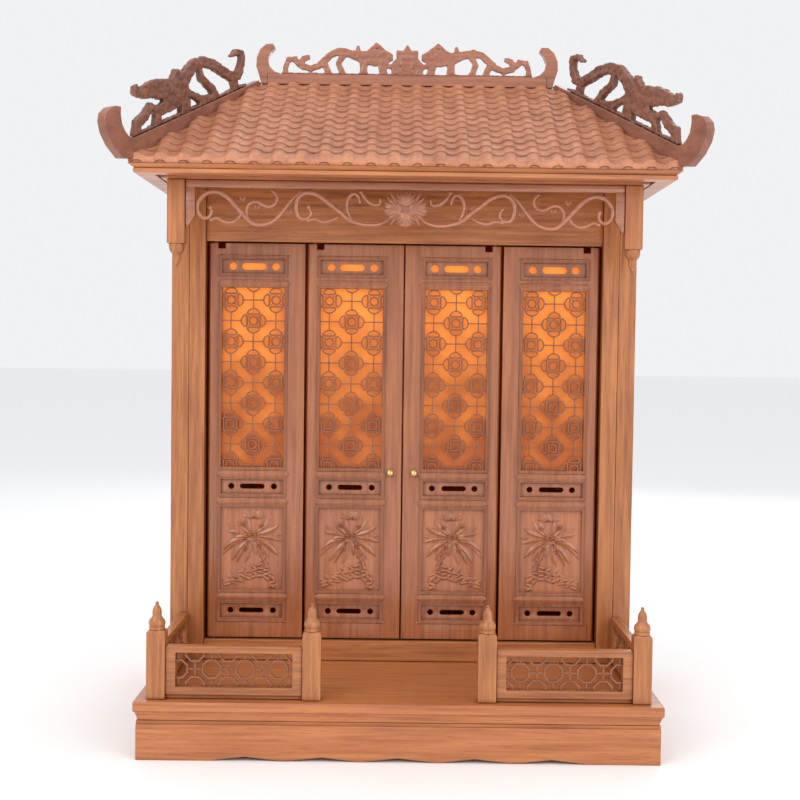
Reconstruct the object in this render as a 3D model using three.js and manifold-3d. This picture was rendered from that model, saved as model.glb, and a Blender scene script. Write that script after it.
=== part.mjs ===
// Household altar cabinet: a hollow timber case with four pivoted leaves, a railed terrace in front
// and a tiled hip roof with a carved ridge and hips.
// Millimetres, +Z up, the front faces -Y. The origin is the middle of the base on the floor.

import * as THREE from 'three';
import { mergeVertices } from 'three/addons/utils/BufferGeometryUtils.js';
import Module from 'manifold-3d';

const wasm = await Module();
wasm.setup();

// Driving dimensions

const gap = 0.3; // air between two pieces that touch

const base = { halfWidth: 305, halfDepth: 240, slabBottom: 46, slabTop: 68, bandHeight: 11, coveInset: 5 };
const apron = {
  inset: 3, thickness: 18, lipHeight: 4, lipInset: 3, archPitch: 88, archHeight: 5, archSteps: 4,
};

const post = { size: 21.3, outerX: 280.8, innerX: 101.3, y: -217.7, top: 148, chamfer: 2.2 };
const rail = {
  top: 129.6, topHeight: 7.5, openingBottom: 82, toeHeight: 4.6, toeInset: 2.5, stile: 11.3,
  thickness: 14, sideThickness: 11,
};
const railGrid = { pitch: 38.6, firstRing: 2.4, ringHole: 10.3, slotReach: 6.4, bar: 2, thickness: 6 };

const house = {
  halfWidth: 299, front: -20.6, back: 225, wall: 22, jamb: 20.7, jambDepth: 32,
  backThickness: 12, top: 679.4,
};
const sill = { front: -18, back: 8, top: 94.7 };
const lintel = { front: -16, back: 4, bottom: 611.3 };

const leaf = {
  gap: 2, bottom: 96.7, top: 609.3, front: -11, thickness: 14, pivotInset: 9, pinRadius: 2.5, pinLength: 8,
  fieldStart: 18, fieldEnd: 98.5, recess: 3, beadDepth: 2.5, beadHeight: 9.5,
};
const notch = { start: 12.5, end: 22, depth: 7 };
const windowField = { bottom: 320, top: 552.5 };
const slotSize = { halfLength: 17.5, halfHeight: 4 };
const slotFields = [{ bottom: 122, top: 141 }, { bottom: 285, top: 303.5 }, { bottom: 571, top: 589 }];
const reliefField = { bottom: 160, top: 267 };
const beadHeights = [150.5, 274, 310.5, 558];
const rosette = {
  pitchX: 29, pitchZ: 26.8, topRow: 563.3, rows: 9, bar: 2, thickness: 5, reach: 7, edgeReach: 17.8, barReach: 10.8,
};
const pane = { thickness: 3, start: 13, end: 103.5, bottom: 313, top: 596 };
const knob = { fromHinge: 111, z: 314 };

const hanging = { size: 21.6, y: -94.2, bottom: 601, pendantLength: 28.5 };
const spandrel = { front: -101, thickness: 8, railBottom: 670, bracketWidth: 12 };

const eave = {
  halfWidth: 322.5, front: -160.5, back: 231.5, bottom: 679.7, beadTop: 684.5, top: 690, flare: 6,
  ring: 22, recess: 3, plateFront: -112, plateHalfWidth: 298,
};
const tiles = { pitch: 27.6, wave: 2.6, eaveHeight: 696.5, overhang: 4.5, shell: 14, eaveWall: 32 };
const ridge = { bottom: 827, top: 840.5, front: 57, thickness: 18, halfLength: 194.5 };
const hip = { width: 12, seat: 3.7 };
const crest = { thickness: 8 };
const dragon = { thickness: 9 };

// Finishes

const finishes = {
  caseWood: { color: 0xb9743f, roughness: 0.36 },
  baseWood: { color: 0xbd7847, roughness: 0.36 },
  doorWood: { color: 0xa86743, roughness: 0.3 },
  latticeWood: { color: 0xa2603a, roughness: 0.38 },
  roofWood: { color: 0xa9714b, roughness: 0.5 },
  carvedWood: { color: 0x6e4030, roughness: 0.42 },
  amber: { color: 0xd9761c, roughness: 0.12 },
  brass: { color: 0xd0a24a, roughness: 0.25, metalness: 1 },
};

const cabinet = new THREE.Group();
cabinet.name = 'household_altar_cabinet';

function addPiece(name, geometry, finish) {
  const piece = new THREE.Mesh(geometry, new THREE.MeshStandardMaterial(finishes[finish]));
  piece.name = name;
  cabinet.add(piece);
}

// Solids: joining, cutting and mirroring

function toSolid(geometry) {
  const plain = geometry.clone();
  plain.deleteAttribute('normal');
  plain.deleteAttribute('uv');
  const merged = mergeVertices(plain, 1e-3);
  const corners = merged.index.array;
  const faces = [];
  for (let i = 0; i < corners.length; i += 3) {
    const [a, b, c] = [corners[i], corners[i + 1], corners[i + 2]];
    if (a !== b && b !== c && c !== a) faces.push(a, b, c);
  }
  const vertProperties = new Float32Array(merged.attributes.position.array);
  return new wasm.Manifold(new wasm.Mesh({ numProp: 3, vertProperties, triVerts: new Uint32Array(faces) }));
}

function toGeometry(solid) {
  const { vertProperties, triVerts } = solid.getMesh();
  const geometry = new THREE.BufferGeometry();
  geometry.setAttribute('position', new THREE.BufferAttribute(new Float32Array(vertProperties), 3));
  geometry.setIndex(Array.from(triVerts));
  geometry.computeVertexNormals();
  return geometry;
}

function join(...geometries) {
  return toGeometry(geometries.map(toSolid).reduce((whole, next) => whole.add(next)));
}

function cut(geometry, ...cutters) {
  return toGeometry(cutters.map(toSolid).reduce((whole, next) => whole.subtract(next), toSolid(geometry)));
}

function keepInside(geometry, ...limits) {
  return toGeometry(limits.map(toSolid).reduce((whole, next) => whole.intersect(next), toSolid(geometry)));
}

// The same piece for the other side of the cabinet: X changes sign and each face is turned round.
function mirrored(geometry) {
  const copy = mergeVertices(geometry.clone()).scale(-1, 1, 1);
  copy.setIndex(Array.from(copy.index.array).reverse());
  copy.computeVertexNormals();
  return copy;
}

// Shapes

function block(x0, x1, y0, y1, z0, z1) {
  const geometry = new THREE.BoxGeometry(x1 - x0, y1 - y0, z1 - z0);
  return geometry.translate((x0 + x1) / 2, (y0 + y1) / 2, (z0 + z1) / 2);
}

// A flat outline drawn in X and Z, standing upright between two depths.
function upright(shape, front, back) {
  const geometry = new THREE.ExtrudeGeometry(shape, { depth: back - front, bevelEnabled: false });
  return geometry.rotateX(Math.PI / 2).translate(0, back, 0);
}

// A flat outline drawn in X and Y, standing between two heights.
function standing(shape, bottom, top) {
  const geometry = new THREE.ExtrudeGeometry(shape, { depth: top - bottom, bevelEnabled: false });
  return geometry.translate(0, 0, bottom);
}

function outline(points) {
  return new THREE.Shape(points.map(([x, z]) => new THREE.Vector2(x, z)));
}

function rectangle(x0, x1, z0, z1) {
  return outline([[x0, z0], [x1, z0], [x1, z1], [x0, z1]]);
}

function regular(x, z, radius, sides, turn = 0) {
  return outline(Array.from({ length: sides }, (_, i) => {
    const angle = turn + (2 * Math.PI * i) / sides;
    return [x + radius * Math.cos(angle), z + radius * Math.sin(angle)];
  }));
}

// A body from stacked rectangles: each level is [half width, front, back, z], bottom first.
function stacked(levels) {
  const positions = levels.flatMap(([half, front, back, z]) => [
    -half, front, z, half, front, z, half, back, z, -half, back, z,
  ]);
  const faces = [0, 2, 1, 0, 3, 2];
  for (let level = 0; level < levels.length - 1; level += 1) {
    for (let side = 0; side < 4; side += 1) {
      const a = level * 4 + side;
      const b = level * 4 + ((side + 1) % 4);
      faces.push(a, b, b + 4, a, b + 4, a + 4);
    }
  }
  const top = (levels.length - 1) * 4;
  faces.push(top, top + 1, top + 2, top, top + 2, top + 3);
  const geometry = new THREE.BufferGeometry();
  geometry.setAttribute('position', new THREE.Float32BufferAttribute(positions, 3));
  geometry.setIndex(faces);
  geometry.computeVertexNormals();
  return geometry;
}

// A turned piece about a vertical axis: the profile is [radius, height], bottom first.
function turned(profile, sides, x, y, z) {
  const points = profile.map(([radius, height]) => new THREE.Vector2(radius, height));
  const geometry = new THREE.LatheGeometry(points, sides).rotateX(Math.PI / 2);
  return toGeometry(toSolid(geometry)).translate(x, y, z);
}

// A carved band: a smooth centre line with a width that changes evenly along it.
function band(centre, widths, steps) {
  const curve = new THREE.SplineCurve(centre.map(([x, z]) => new THREE.Vector2(x, z)));
  const leftEdge = [];
  const rightEdge = [];
  for (let i = 0; i <= steps; i += 1) {
    const at = i / steps;
    const slot = Math.min(Math.floor(at * (widths.length - 1)), widths.length - 2);
    const half = THREE.MathUtils.lerp(widths[slot], widths[slot + 1], at * (widths.length - 1) - slot) / 2;
    const point = curve.getPoint(at);
    const along = curve.getTangent(at);
    leftEdge.push([point.x - along.y * half, point.y + along.x * half]);
    rightEdge.unshift([point.x + along.y * half, point.y - along.x * half]);
  }
  return outline([...rightEdge, ...leftEdge]);
}

// Base: a slab with a moulded edge on four apron boards

function baseSlab() {
  const ring = (inset, z) => [base.halfWidth - inset, inset - base.halfDepth, base.halfDepth - inset, z];
  const bandBottom = base.slabTop - base.bandHeight;
  return stacked([
    ring(base.coveInset, base.slabBottom), ring(3.6, base.slabBottom + 5),
    ring(1.6, bandBottom - 0.5), ring(0, bandBottom), ring(0, base.slabTop - 1), ring(1, base.slabTop),
  ]);
}

// The lower edge rises in shallow arches about the middle, and lies flat at both ends.
function apronBoard(halfLength, arches) {
  const span = (arches * apron.archPitch) / 2;
  const wave = [];
  for (let i = 0; i <= arches * apron.archSteps; i += 1) {
    const turns = i / apron.archSteps;
    const lift = (1 - Math.cos(2 * Math.PI * turns)) / 2;
    wave.push([turns * apron.archPitch - span, lift * apron.archHeight]);
  }
  const top = base.slabBottom - gap - apron.lipHeight;
  const board = outline([[-halfLength, 0], ...wave, [halfLength, 0], [halfLength, top], [-halfLength, top]]);
  const lip = block(-halfLength, halfLength, apron.lipInset, apron.thickness, top - 1, top + apron.lipHeight);
  return join(upright(board, 0, apron.thickness), lip);
}

function addBase() {
  const frontLength = base.halfWidth - apron.inset;
  const face = apron.inset - base.halfDepth;
  const sideLength = -face - apron.thickness - gap;
  addPiece('base_slab', baseSlab(), 'baseWood');
  addPiece('apron_front', apronBoard(frontLength, 5).translate(0, face, 0), 'baseWood');
  const backBoard = block(-frontLength, frontLength, -face - apron.thickness, -face, 0, base.slabBottom - gap);
  addPiece('apron_back', backBoard, 'baseWood');
  const sideBoard = apronBoard(sideLength, 4).rotateZ(-Math.PI / 2).translate(-frontLength, 0, 0);
  addPiece('apron_left', sideBoard, 'baseWood');
  addPiece('apron_right', mirrored(sideBoard), 'baseWood');
}

// Terrace: posts with turned finials, framed rails with a pierced octagon lattice

const finialProfile = [[0, 0], [9.1, 0], [9.7, 7], [5.5, 15], [5.4, 20], [2, 28], [0, 32]];

function squarePost(size, bottom, top, chamfer) {
  const half = size / 2;
  return stacked([
    [half, -half, half, bottom], [half, -half, half, top - chamfer],
    [half - chamfer, chamfer - half, half - chamfer, top],
  ]);
}

function pierce(x0, x1, y0, y1, z0, z1, border, holes) {
  const inner = toSolid(block(x0 + border, x1 - border, y0 - 1, y1 + 1, z0 + border, z1 - border));
  const openings = holes.map((shape) => toSolid(upright(shape, y0 - 1, y1 + 1)))
    .reduce((whole, next) => whole.add(next)).intersect(inner);
  return toGeometry(toSolid(block(x0, x1, y0, y1, z0, z1)).subtract(openings));
}

// A pierced panel: octagon rings stand on the middle line and, between them, half rings on both long
// edges. Crossed bars and narrow slanting slots lie between the rings.
function railLattice(length, height) {
  const halfPitch = railGrid.pitch / 2;
  const [bar, reach] = [railGrid.bar / 2, railGrid.slotReach];
  const holes = [];
  for (let i = -1; railGrid.firstRing + i * halfPitch < length; i += 1) {
    const x = railGrid.firstRing + i * halfPitch;
    const onMiddle = i % 2 === 0;
    const ringHeights = onMiddle ? [height / 2] : [0, height];
    const sides = onMiddle ? 8 : 6;
    ringHeights.forEach((z) => holes.push(regular(x, z, railGrid.ringHole, sides, Math.PI / 8)));
    const [x0, x1] = [x + bar, x + halfPitch - bar];
    for (const [z0, z1, lower] of [[bar, height / 2 - bar, true], [height / 2 + bar, height - bar, false]]) {
      const slot = [[x0, z0], [x1 - reach, z0 + reach], [x1, z1], [x0 + reach, z1 - reach]];
      const rising = onMiddle === lower;
      holes.push(outline(rising ? slot : slot.map(([sx, sz]) => [sx, z0 + z1 - sz]).reverse()));
    }
  }
  return pierce(0, length, 0, railGrid.thickness, 0, height, railGrid.bar, holes);
}

// The plainer panel at the sides: the same rings, with one upright slot between each two.
function sideLattice(length, height) {
  const holes = [];
  const rings = Math.floor(length / railGrid.pitch);
  for (let i = 0; i < rings; i += 1) {
    const x = length / 2 + (i - (rings - 1) / 2) * railGrid.pitch;
    holes.push(regular(x, height / 2, railGrid.ringHole, 8, Math.PI / 8));
    if (i > 0) holes.push(rectangle(x - railGrid.pitch / 2 - 4, x - railGrid.pitch / 2 + 4, 6, height - 6));
  }
  return pierce(0, length, 0, railGrid.thickness, 0, height, railGrid.bar, holes);
}

function railFrame(length, thickness) {
  const bottom = base.slabTop + gap;
  const frame = block(-length / 2, length / 2, 0, thickness, bottom + rail.toeHeight, rail.top);
  const [toeFront, toeBack] = [rail.toeInset, thickness - rail.toeInset];
  const toe = block(-length / 2, length / 2, toeFront, toeBack, bottom, bottom + rail.toeHeight + 1);
  const inner = length / 2 - rail.stile;
  const opening = block(-inner, inner, -1, thickness + 1, rail.openingBottom, rail.top - rail.topHeight);
  return cut(join(frame, toe), opening);
}

function addTerrace() {
  const floor = base.slabTop + gap;
  const latticeHeight = rail.top - rail.topHeight - rail.openingBottom - 2 * gap;
  const latticeBottom = rail.openingBottom + gap;
  const frontLength = post.outerX - post.innerX - post.size - 2 * gap;
  const frontMiddle = -(post.outerX + post.innerX) / 2;
  const frontStart = frontMiddle - frontLength / 2 + rail.stile + gap;
  const frontFace = post.y - rail.thickness / 2;
  const frame = railFrame(frontLength, rail.thickness).translate(frontMiddle, frontFace, 0);
  const grid = railLattice(frontLength - 2 * (rail.stile + gap), latticeHeight);
  grid.translate(frontStart, frontFace + (rail.thickness - railGrid.thickness) / 2, latticeBottom);

  const sideStart = post.y + post.size / 2 + gap;
  const sideLength = house.front - gap - sideStart;
  const sideGridLength = sideLength - 2 * (rail.stile + gap);
  const sideMiddle = sideStart + sideLength / 2;
  const sideFrame = railFrame(sideLength, rail.sideThickness).translate(0, -rail.sideThickness / 2, 0);
  sideFrame.rotateZ(Math.PI / 2).translate(-post.outerX, sideMiddle, 0);
  const sideGrid = sideLattice(sideGridLength, latticeHeight);
  sideGrid.translate(-sideGridLength / 2, -railGrid.thickness / 2, latticeBottom);
  sideGrid.rotateZ(Math.PI / 2).translate(-post.outerX, sideMiddle, 0);

  for (const side of ['left', 'right']) {
    const place = (geometry) => (side === 'left' ? geometry.clone() : mirrored(geometry));
    for (const [where, x] of [['outer', -post.outerX], ['inner', -post.innerX]]) {
      const column = squarePost(post.size, floor, post.top, post.chamfer).translate(x, post.y, 0);
      addPiece(`rail_post_${where}_${side}`, place(column), 'caseWood');
      const finial = turned(finialProfile, 7, x, post.y, post.top + gap);
      addPiece(`finial_${where}_${side}`, place(finial), 'caseWood');
    }
    addPiece(`rail_frame_${side}`, place(frame), 'caseWood');
    addPiece(`rail_lattice_${side}`, place(grid), 'latticeWood');
    addPiece(`side_rail_${side}`, place(sideFrame), 'caseWood');
    addPiece(`side_lattice_${side}`, place(sideGrid), 'latticeWood');
  }
}

// Case: walls, jambs, back, sill and lintel round an empty room

const doorway = house.halfWidth - house.wall - gap - house.jamb; // half width between the jambs
const leafWidth = (2 * doorway - 5 * leaf.gap) / 4;

function pivotX(number) {
  const fromLeft = number <= 2;
  const start = fromLeft ? leaf.gap + (number - 1) * (leafWidth + leaf.gap) : 0;
  return fromLeft ? -doorway + start + leaf.pivotInset : -pivotX(5 - number);
}

const pivotY = leaf.front + leaf.thickness / 2;

function pivotHoles(bottom, top) {
  return [1, 2, 3, 4].map((number) => (
    standing(regular(pivotX(number), pivotY, leaf.pinRadius + 1.5, 4, Math.PI / 4), bottom, top)
  ));
}

function addCase() {
  const floor = base.slabTop + gap;
  const { halfWidth, front, back, top } = house;
  const backFront = back - house.backThickness;
  const innerWall = halfWidth - house.wall;
  const wall = block(-halfWidth, -innerWall, front, backFront - gap, floor, top);
  const jamb = block(gap - innerWall, -doorway, front, front + house.jambDepth, floor, top);
  addPiece('side_wall_left', wall, 'caseWood');
  addPiece('side_wall_right', mirrored(wall), 'caseWood');
  addPiece('jamb_left', jamb, 'caseWood');
  addPiece('jamb_right', mirrored(jamb), 'caseWood');
  addPiece('back_board', block(-halfWidth, halfWidth, backFront, back, floor, top), 'caseWood');
  const across = doorway - gap;
  const holeDepth = leaf.pinLength + 1;
  const sillBoard = block(-across, across, sill.front, sill.back, floor, sill.top);
  const lintelBoard = block(-across, across, lintel.front, lintel.back, lintel.bottom, top);
  const sillHoles = pivotHoles(sill.top - holeDepth, sill.top + 1);
  const lintelHoles = pivotHoles(lintel.bottom - 1, lintel.bottom + holeDepth);
  addPiece('sill', cut(sillBoard, ...sillHoles), 'caseWood');
  addPiece('lintel', cut(lintelBoard, ...lintelHoles), 'caseWood');
}

// Leaves, drawn with the hinge edge at X = 0 and the front at Y = 0

// The hinge edge is an arc about the pivot, so that it turns clear of its neighbour.
function leafBoard() {
  const half = leaf.thickness / 2;
  const reach = Math.asin(half / leaf.pivotInset);
  const edge = [1, 0.35, -0.35, -1].map((share) => [
    leaf.pivotInset * (1 - Math.cos(share * reach)), half + leaf.pivotInset * Math.sin(share * reach),
  ]);
  return standing(outline([[leafWidth, 0], [leafWidth, leaf.thickness], ...edge]), leaf.bottom, leaf.top);
}

function slot(middle) {
  const centre = (leaf.fieldStart + leaf.fieldEnd) / 2;
  const { halfLength, halfHeight } = slotSize;
  const [bottom, top] = [middle - halfHeight, middle + halfHeight];
  return block(centre - halfLength, centre + halfLength, -1, leaf.thickness + 1, bottom, top);
}

// A bead runs across the field and ends in a mitred point on either side.
function beadBar(z) {
  const tip = leaf.beadHeight / 2;
  const [start, end] = [leaf.fieldStart - 5, leaf.fieldEnd + 7.5];
  const shape = outline([
    [start, z], [start + tip, z - tip], [end - tip, z - tip],
    [end, z], [end - tip, z + tip], [start + tip, z + tip],
  ]);
  return upright(shape, -leaf.beadDepth, 1);
}

// A spray in relief: leaves that fan out from one crown, a seed head above, a stem and a rock below.
function spray() {
  const crown = [57, 214];
  const at = (degrees, distance) => {
    const angle = THREE.MathUtils.degToRad(degrees);
    return [crown[0] + distance * Math.cos(angle), crown[1] + distance * Math.sin(angle)];
  };
  const fan = [];
  for (let i = 0; i < 10; i += 1) {
    const degrees = -40 + i * 29;
    fan.push(at(degrees - 14.5, 12), at(degrees, 31 + 2 * Math.cos(i * 2.5)));
  }
  const seedHead = [[43, 247], [74, 247], [73, 258], [66, 264], [52, 264], [45, 258]];
  const stemAndRock = [
    [29, 164], [86, 162], [85, 174], [77, 188], [66, 208], [60, 204], [66, 190], [48, 180], [33, 174],
  ];
  return [fan, seedHead, stemAndRock].map((points) => upright(outline(points), 0.8, leaf.recess + 1));
}

function leafBody() {
  const fields = [...slotFields, reliefField].map(({ bottom, top }) => (
    block(leaf.fieldStart, leaf.fieldEnd, -1, leaf.recess, bottom, top)
  ));
  const opening = block(leaf.fieldStart, leaf.fieldEnd, -1, 30, windowField.bottom, windowField.top);
  const rebateDepth = pane.thickness + 2 * gap;
  const rebate = block(
    pane.start - gap, pane.end + gap, leaf.thickness - rebateDepth, 30, pane.bottom - gap, pane.top + gap,
  );
  const notchCut = block(notch.start, notch.end, -1, 30, leaf.top - notch.depth, leaf.top + 1);
  const holes = slotFields.map(({ bottom, top }) => slot((bottom + top) / 2));
  const board = cut(leafBoard(), ...fields, opening, rebate, notchCut, ...holes);
  const pins = [[leaf.bottom - leaf.pinLength, leaf.bottom + 3], [leaf.top - 3, leaf.top + leaf.pinLength]];
  const pinSolids = pins.map(([bottom, top]) => (
    standing(regular(leaf.pivotInset, leaf.thickness / 2, leaf.pinRadius, 5), bottom, top)
  ));
  return join(board, ...beadHeights.map(beadBar), ...spray(), ...pinSolids);
}

// Bars cross at every step of the grid and swell into a rosette at every second crossing, so each cell
// is a slanting opening between two plain crossings. Along the frame two cells run into one.
function leafLattice() {
  const centre = (leaf.fieldStart + leaf.fieldEnd) / 2;
  const [left, right] = [leaf.fieldStart + gap, leaf.fieldEnd - gap];
  const [bottom, top] = [windowField.bottom + gap, windowField.top - gap];
  const { pitchX, pitchZ, reach, bar } = rosette;
  const holes = [];
  for (let row = 0; row < rosette.rows; row += 1) {
    const crossing = rosette.topRow - row * pitchZ;
    const [z0, z1] = [crossing - pitchZ + bar / 2, crossing - bar / 2];
    for (const side of [-1, 1]) {
      const middleHasRosette = row % 2 === 0;
      const [near, far] = [centre + (side * bar) / 2, centre + side * (pitchX - bar / 2)];
      const [za, zb, step] = middleHasRosette ? [z0, z1, reach] : [z1, z0, -reach];
      const cell = [[near, za], [far - side * reach, za + step], [far, zb], [near + side * reach, zb - step]];
      holes.push(outline(side * step > 0 ? cell : cell.reverse()));
      if (middleHasRosette) {
        const inner = centre + side * (pitchX + bar / 2);
        const [x0, x1] = side < 0 ? [left, inner] : [inner, right];
        const reaches = [rosette.edgeReach, rosette.barReach];
        const [reach0, reach1] = side < 0 ? reaches : reaches.reverse();
        holes.push(outline([
          [x0, crossing - reach0], [x1, crossing - reach1], [x1, crossing + reach1], [x0, crossing + reach0],
        ]));
      }
    }
  }
  return pierce(left, right, 2, 2 + rosette.thickness, bottom, top, bar, holes);
}

const knobProfile = [[0, 0], [4.2, 0], [2, 2.5], [4, 6], [2.8, 9], [0, 9.5]];

function addLeaves() {
  const body = leafBody();
  const lattice = leafLattice();
  const glassBack = leaf.thickness - gap;
  const glass = block(pane.start, pane.end, glassBack - pane.thickness, glassBack, pane.bottom, pane.top);
  const handle = turned(knobProfile, 6, 0, 0, 0).rotateX(Math.PI / 2).translate(knob.fromHinge, -gap, knob.z);
  for (const number of [1, 2, 3, 4]) {
    const left = number <= 2;
    const place = (geometry) => {
      const copy = left ? geometry.clone() : mirrored(geometry);
      const hingeEdge = pivotX(number) + (left ? -leaf.pivotInset : leaf.pivotInset);
      return copy.translate(hingeEdge, leaf.front, 0);
    };
    addPiece(`leaf_${number}`, place(body), 'doorWood');
    addPiece(`leaf_lattice_${number}`, place(lattice), 'latticeWood');
    addPiece(`leaf_pane_${number}`, place(glass), 'amber');
    if (number === 2) addPiece('knob_left', place(handle), 'brass');
    if (number === 3) addPiece('knob_right', place(handle), 'brass');
  }
}

// Porch: hanging corner posts with pendants, and a scrolled spandrel between them

const pendantProfile = [[0, 0], [1.8, 2], [5.3, 9], [4.8, 15], [9.6, 20.5], [10, 28.2], [0, 28.2]];

// The left half: two long vines that each start in a curl, and the tendrils between them.
function vines() {
  const wide = [3.4, 4.8, 4.8, 5];
  const slim = [4.4, 4, 4];
  return [
    band([[-239, 646], [-242, 633], [-255, 640], [-254, 656], [-234, 666], [-208, 648], [-184, 626],
      [-158, 633], [-139, 657], [-126, 672]], wide, 12),
    band([[-119, 648], [-121, 635], [-132, 640], [-133, 655], [-118, 666], [-92, 652], [-68, 632],
      [-44, 627], [-16, 638]], wide, 11),
    band([[-245, 633], [-231, 633], [-216, 628], [-201, 641]], slim, 3),
    band([[-128, 634], [-109, 633], [-95, 630], [-80, 641]], slim, 3),
    band([[-190, 629], [-194, 645], [-182, 654], [-162, 650], [-165, 672]], slim, 4),
    band([[-67, 631], [-73, 650], [-64, 664], [-57, 652]], slim, 4),
    band([[-57, 672], [-47, 656], [-32, 654]], slim, 2),
  ];
}

function flower() {
  const heart = [0, 647];
  const petals = [0, 90, 180, 270].map((degrees) => {
    const [length, width] = degrees % 180 === 0 ? [27, 12] : [24.5, 11];
    const angle = THREE.MathUtils.degToRad(degrees);
    const at = (distance, side) => [
      heart[0] + Math.cos(angle) * distance - Math.sin(angle) * side,
      heart[1] + Math.sin(angle) * distance + Math.cos(angle) * side,
    ];
    return outline([at(3, -5), at(13, -width), at(length, 0), at(13, width), at(3, 5)]);
  });
  return [...petals.map((petal) => upright(petal, -1.5, 6)), upright(regular(...heart, 10, 8), -3, 5)];
}

function spandrelPanel() {
  const end = post.outerX - hanging.size / 2 - gap;
  const bracket = outline([
    [-end, spandrel.railBottom + 1], [-end, 618], [-end + 3, 619], [-end + spandrel.bracketWidth, 635],
    [-end + spandrel.bracketWidth, spandrel.railBottom + 1],
  ]);
  const railBar = block(-end, end, 0, spandrel.thickness, spandrel.railBottom, house.top);
  const carving = vines().map((shape) => upright(shape, 1, spandrel.thickness - 1));
  const half = [upright(bracket, 0, spandrel.thickness), ...carving];
  return join(railBar, ...half, ...half.map(mirrored), ...flower()).translate(0, spandrel.front, 0);
}

function addPorch() {
  const half = hanging.size / 2;
  for (const [side, sign] of [['left', -1], ['right', 1]]) {
    const x = sign * post.outerX;
    const drop = block(x - half, x + half, hanging.y - half, hanging.y + half, hanging.bottom, house.top);
    addPiece(`hanging_post_${side}`, drop, 'caseWood');
    const pendantZ = hanging.bottom - gap - hanging.pendantLength + 0.3;
    addPiece(`pendant_${side}`, turned(pendantProfile, 7, x, hanging.y, pendantZ), 'caseWood');
  }
  addPiece('spandrel', spandrelPanel(), 'doorWood');
}

// Roof: eave board, tiled shell, ridge with horns and crest, hips with horns and dragons

function eaveBoard() {
  const ring = (inset, z) => [eave.halfWidth - inset, eave.front + inset, eave.back - inset, z];
  const board = stacked([
    ring(0.8, eave.bottom), ring(0, eave.bottom + 0.8), ring(0, eave.beadTop), ring(1.5, eave.beadTop + 0.6),
    ring(-eave.flare, eave.top),
  ]);
  const outer = eave.ring;
  const recess = block(
    outer - eave.halfWidth, eave.halfWidth - outer, eave.front + outer, eave.back - outer,
    eave.bottom - 1, eave.bottom + eave.recess,
  );
  const plate = block(
    -eave.plateHalfWidth, eave.plateHalfWidth, eave.plateFront, eave.back - outer + 1,
    eave.bottom, eave.bottom + eave.recess + 1,
  );
  return join(cut(board, recess), plate);
}

const roofEdge = {
  halfWidth: eave.halfWidth + tiles.overhang,
  front: eave.front - tiles.overhang,
  back: eave.back + tiles.overhang,
};
const ridgeBack = ridge.front + ridge.thickness;
const ridgeEnd = ridge.halfLength + 4.5;

// Sections across one tile column, as [share of the pitch, share of the wave height].
const roundTile = [[0, -1], [0.22, 1], [0.78, 1]];
const plainTile = [[0, -1], [0.5, 1]];
const smoothBoard = [[0, 0]];

// One slope rises along +Y from its eave at Y = 0, with columns of one section running up it.
function slope(halfLength, run, section) {
  const columns = Math.ceil(halfLength / tiles.pitch);
  const start = -columns * tiles.pitch;
  const surface = [];
  for (let column = 0; column < (section === smoothBoard ? 1 : 2 * columns); column += 1) {
    for (const [part, height] of section) {
      surface.push([start + (column + part) * tiles.pitch, tiles.wave * height]);
    }
  }
  surface.push([-start, tiles.wave * section[0][1]]);
  const underside = [[start, -900], [-start, -900]];
  const rise = ridge.bottom - tiles.eaveHeight;
  const shear = new THREE.Matrix4().set(1, 0, 0, 0, 0, 1, 0, 0, 0, rise / run, 1, 0, 0, 0, 0, 1);
  const body = upright(outline([...underside, ...surface.reverse()]), 0, 2 * roofEdge.halfWidth);
  return body.applyMatrix4(shear).translate(0, 0, tiles.eaveHeight);
}

// Side of a hip: from the end of the ridge to the corner of the eave, in plan.
function hipLine(backHip) {
  const start = new THREE.Vector2(-ridgeEnd, backHip ? ridgeBack : ridge.front);
  const corner = new THREE.Vector2(-roofEdge.halfWidth, backHip ? roofEdge.back : roofEdge.front);
  return { start, along: corner.clone().sub(start).normalize(), length: start.distanceTo(corner) };
}

// Stands a piece on the hip: drawn upright in X (distance down the hip) and Z, centred on Y = 0.
function onHip(geometry, backHip) {
  const { start, along } = hipLine(backHip);
  const turn = Math.atan2(along.y, along.x);
  return geometry.rotateZ(turn).translate(start.x, start.y, 0);
}

function centred(shape, thickness) {
  return upright(shape, -thickness / 2, thickness / 2);
}

function hipFall(backHip) {
  return (ridge.bottom - tiles.eaveHeight) / hipLine(backHip).length;
}

// The seat that a hip beam rests in: its bottom runs parallel to the line where the slopes meet.
function hipSeat(backHip, clearance) {
  const fall = hipFall(backHip);
  const level = (distance) => ridge.bottom - hip.seat - clearance - fall * distance;
  const shape = outline([[-40, level(-40)], [340, level(340)], [340, 900], [-40, 900]]);
  return onHip(centred(shape, hip.width + 2 * clearance), backHip);
}

function roofShell() {
  const { halfWidth, front, back } = roofEdge;
  const frontSlope = slope(halfWidth, ridge.front - front, roundTile).translate(0, front, 0);
  const backSlope = slope(halfWidth, back - ridgeBack, smoothBoard).rotateZ(Math.PI).translate(0, back, 0);
  const sideSlope = slope((back - front) / 2, halfWidth - ridgeEnd, plainTile).rotateZ(-Math.PI / 2);
  sideSlope.translate(-halfWidth, (front + back) / 2, 0);
  const envelope = block(-halfWidth, halfWidth, front, back, eave.top + gap, ridge.bottom - gap);
  const { shell, eaveWall } = tiles;
  const hollow = stacked([
    [halfWidth - eaveWall, front + eaveWall, back - eaveWall, eave.top],
    [ridgeEnd - shell, ridge.front - shell / 2, ridgeBack + shell / 2, ridge.bottom - shell - 4],
  ]);
  const seats = [hipSeat(false, gap), hipSeat(true, gap)];
  const roof = keepInside(envelope, frontSlope, backSlope, sideSlope, mirrored(sideSlope));
  return cut(roof, hollow, ...seats, ...seats.map(mirrored));
}

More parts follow.
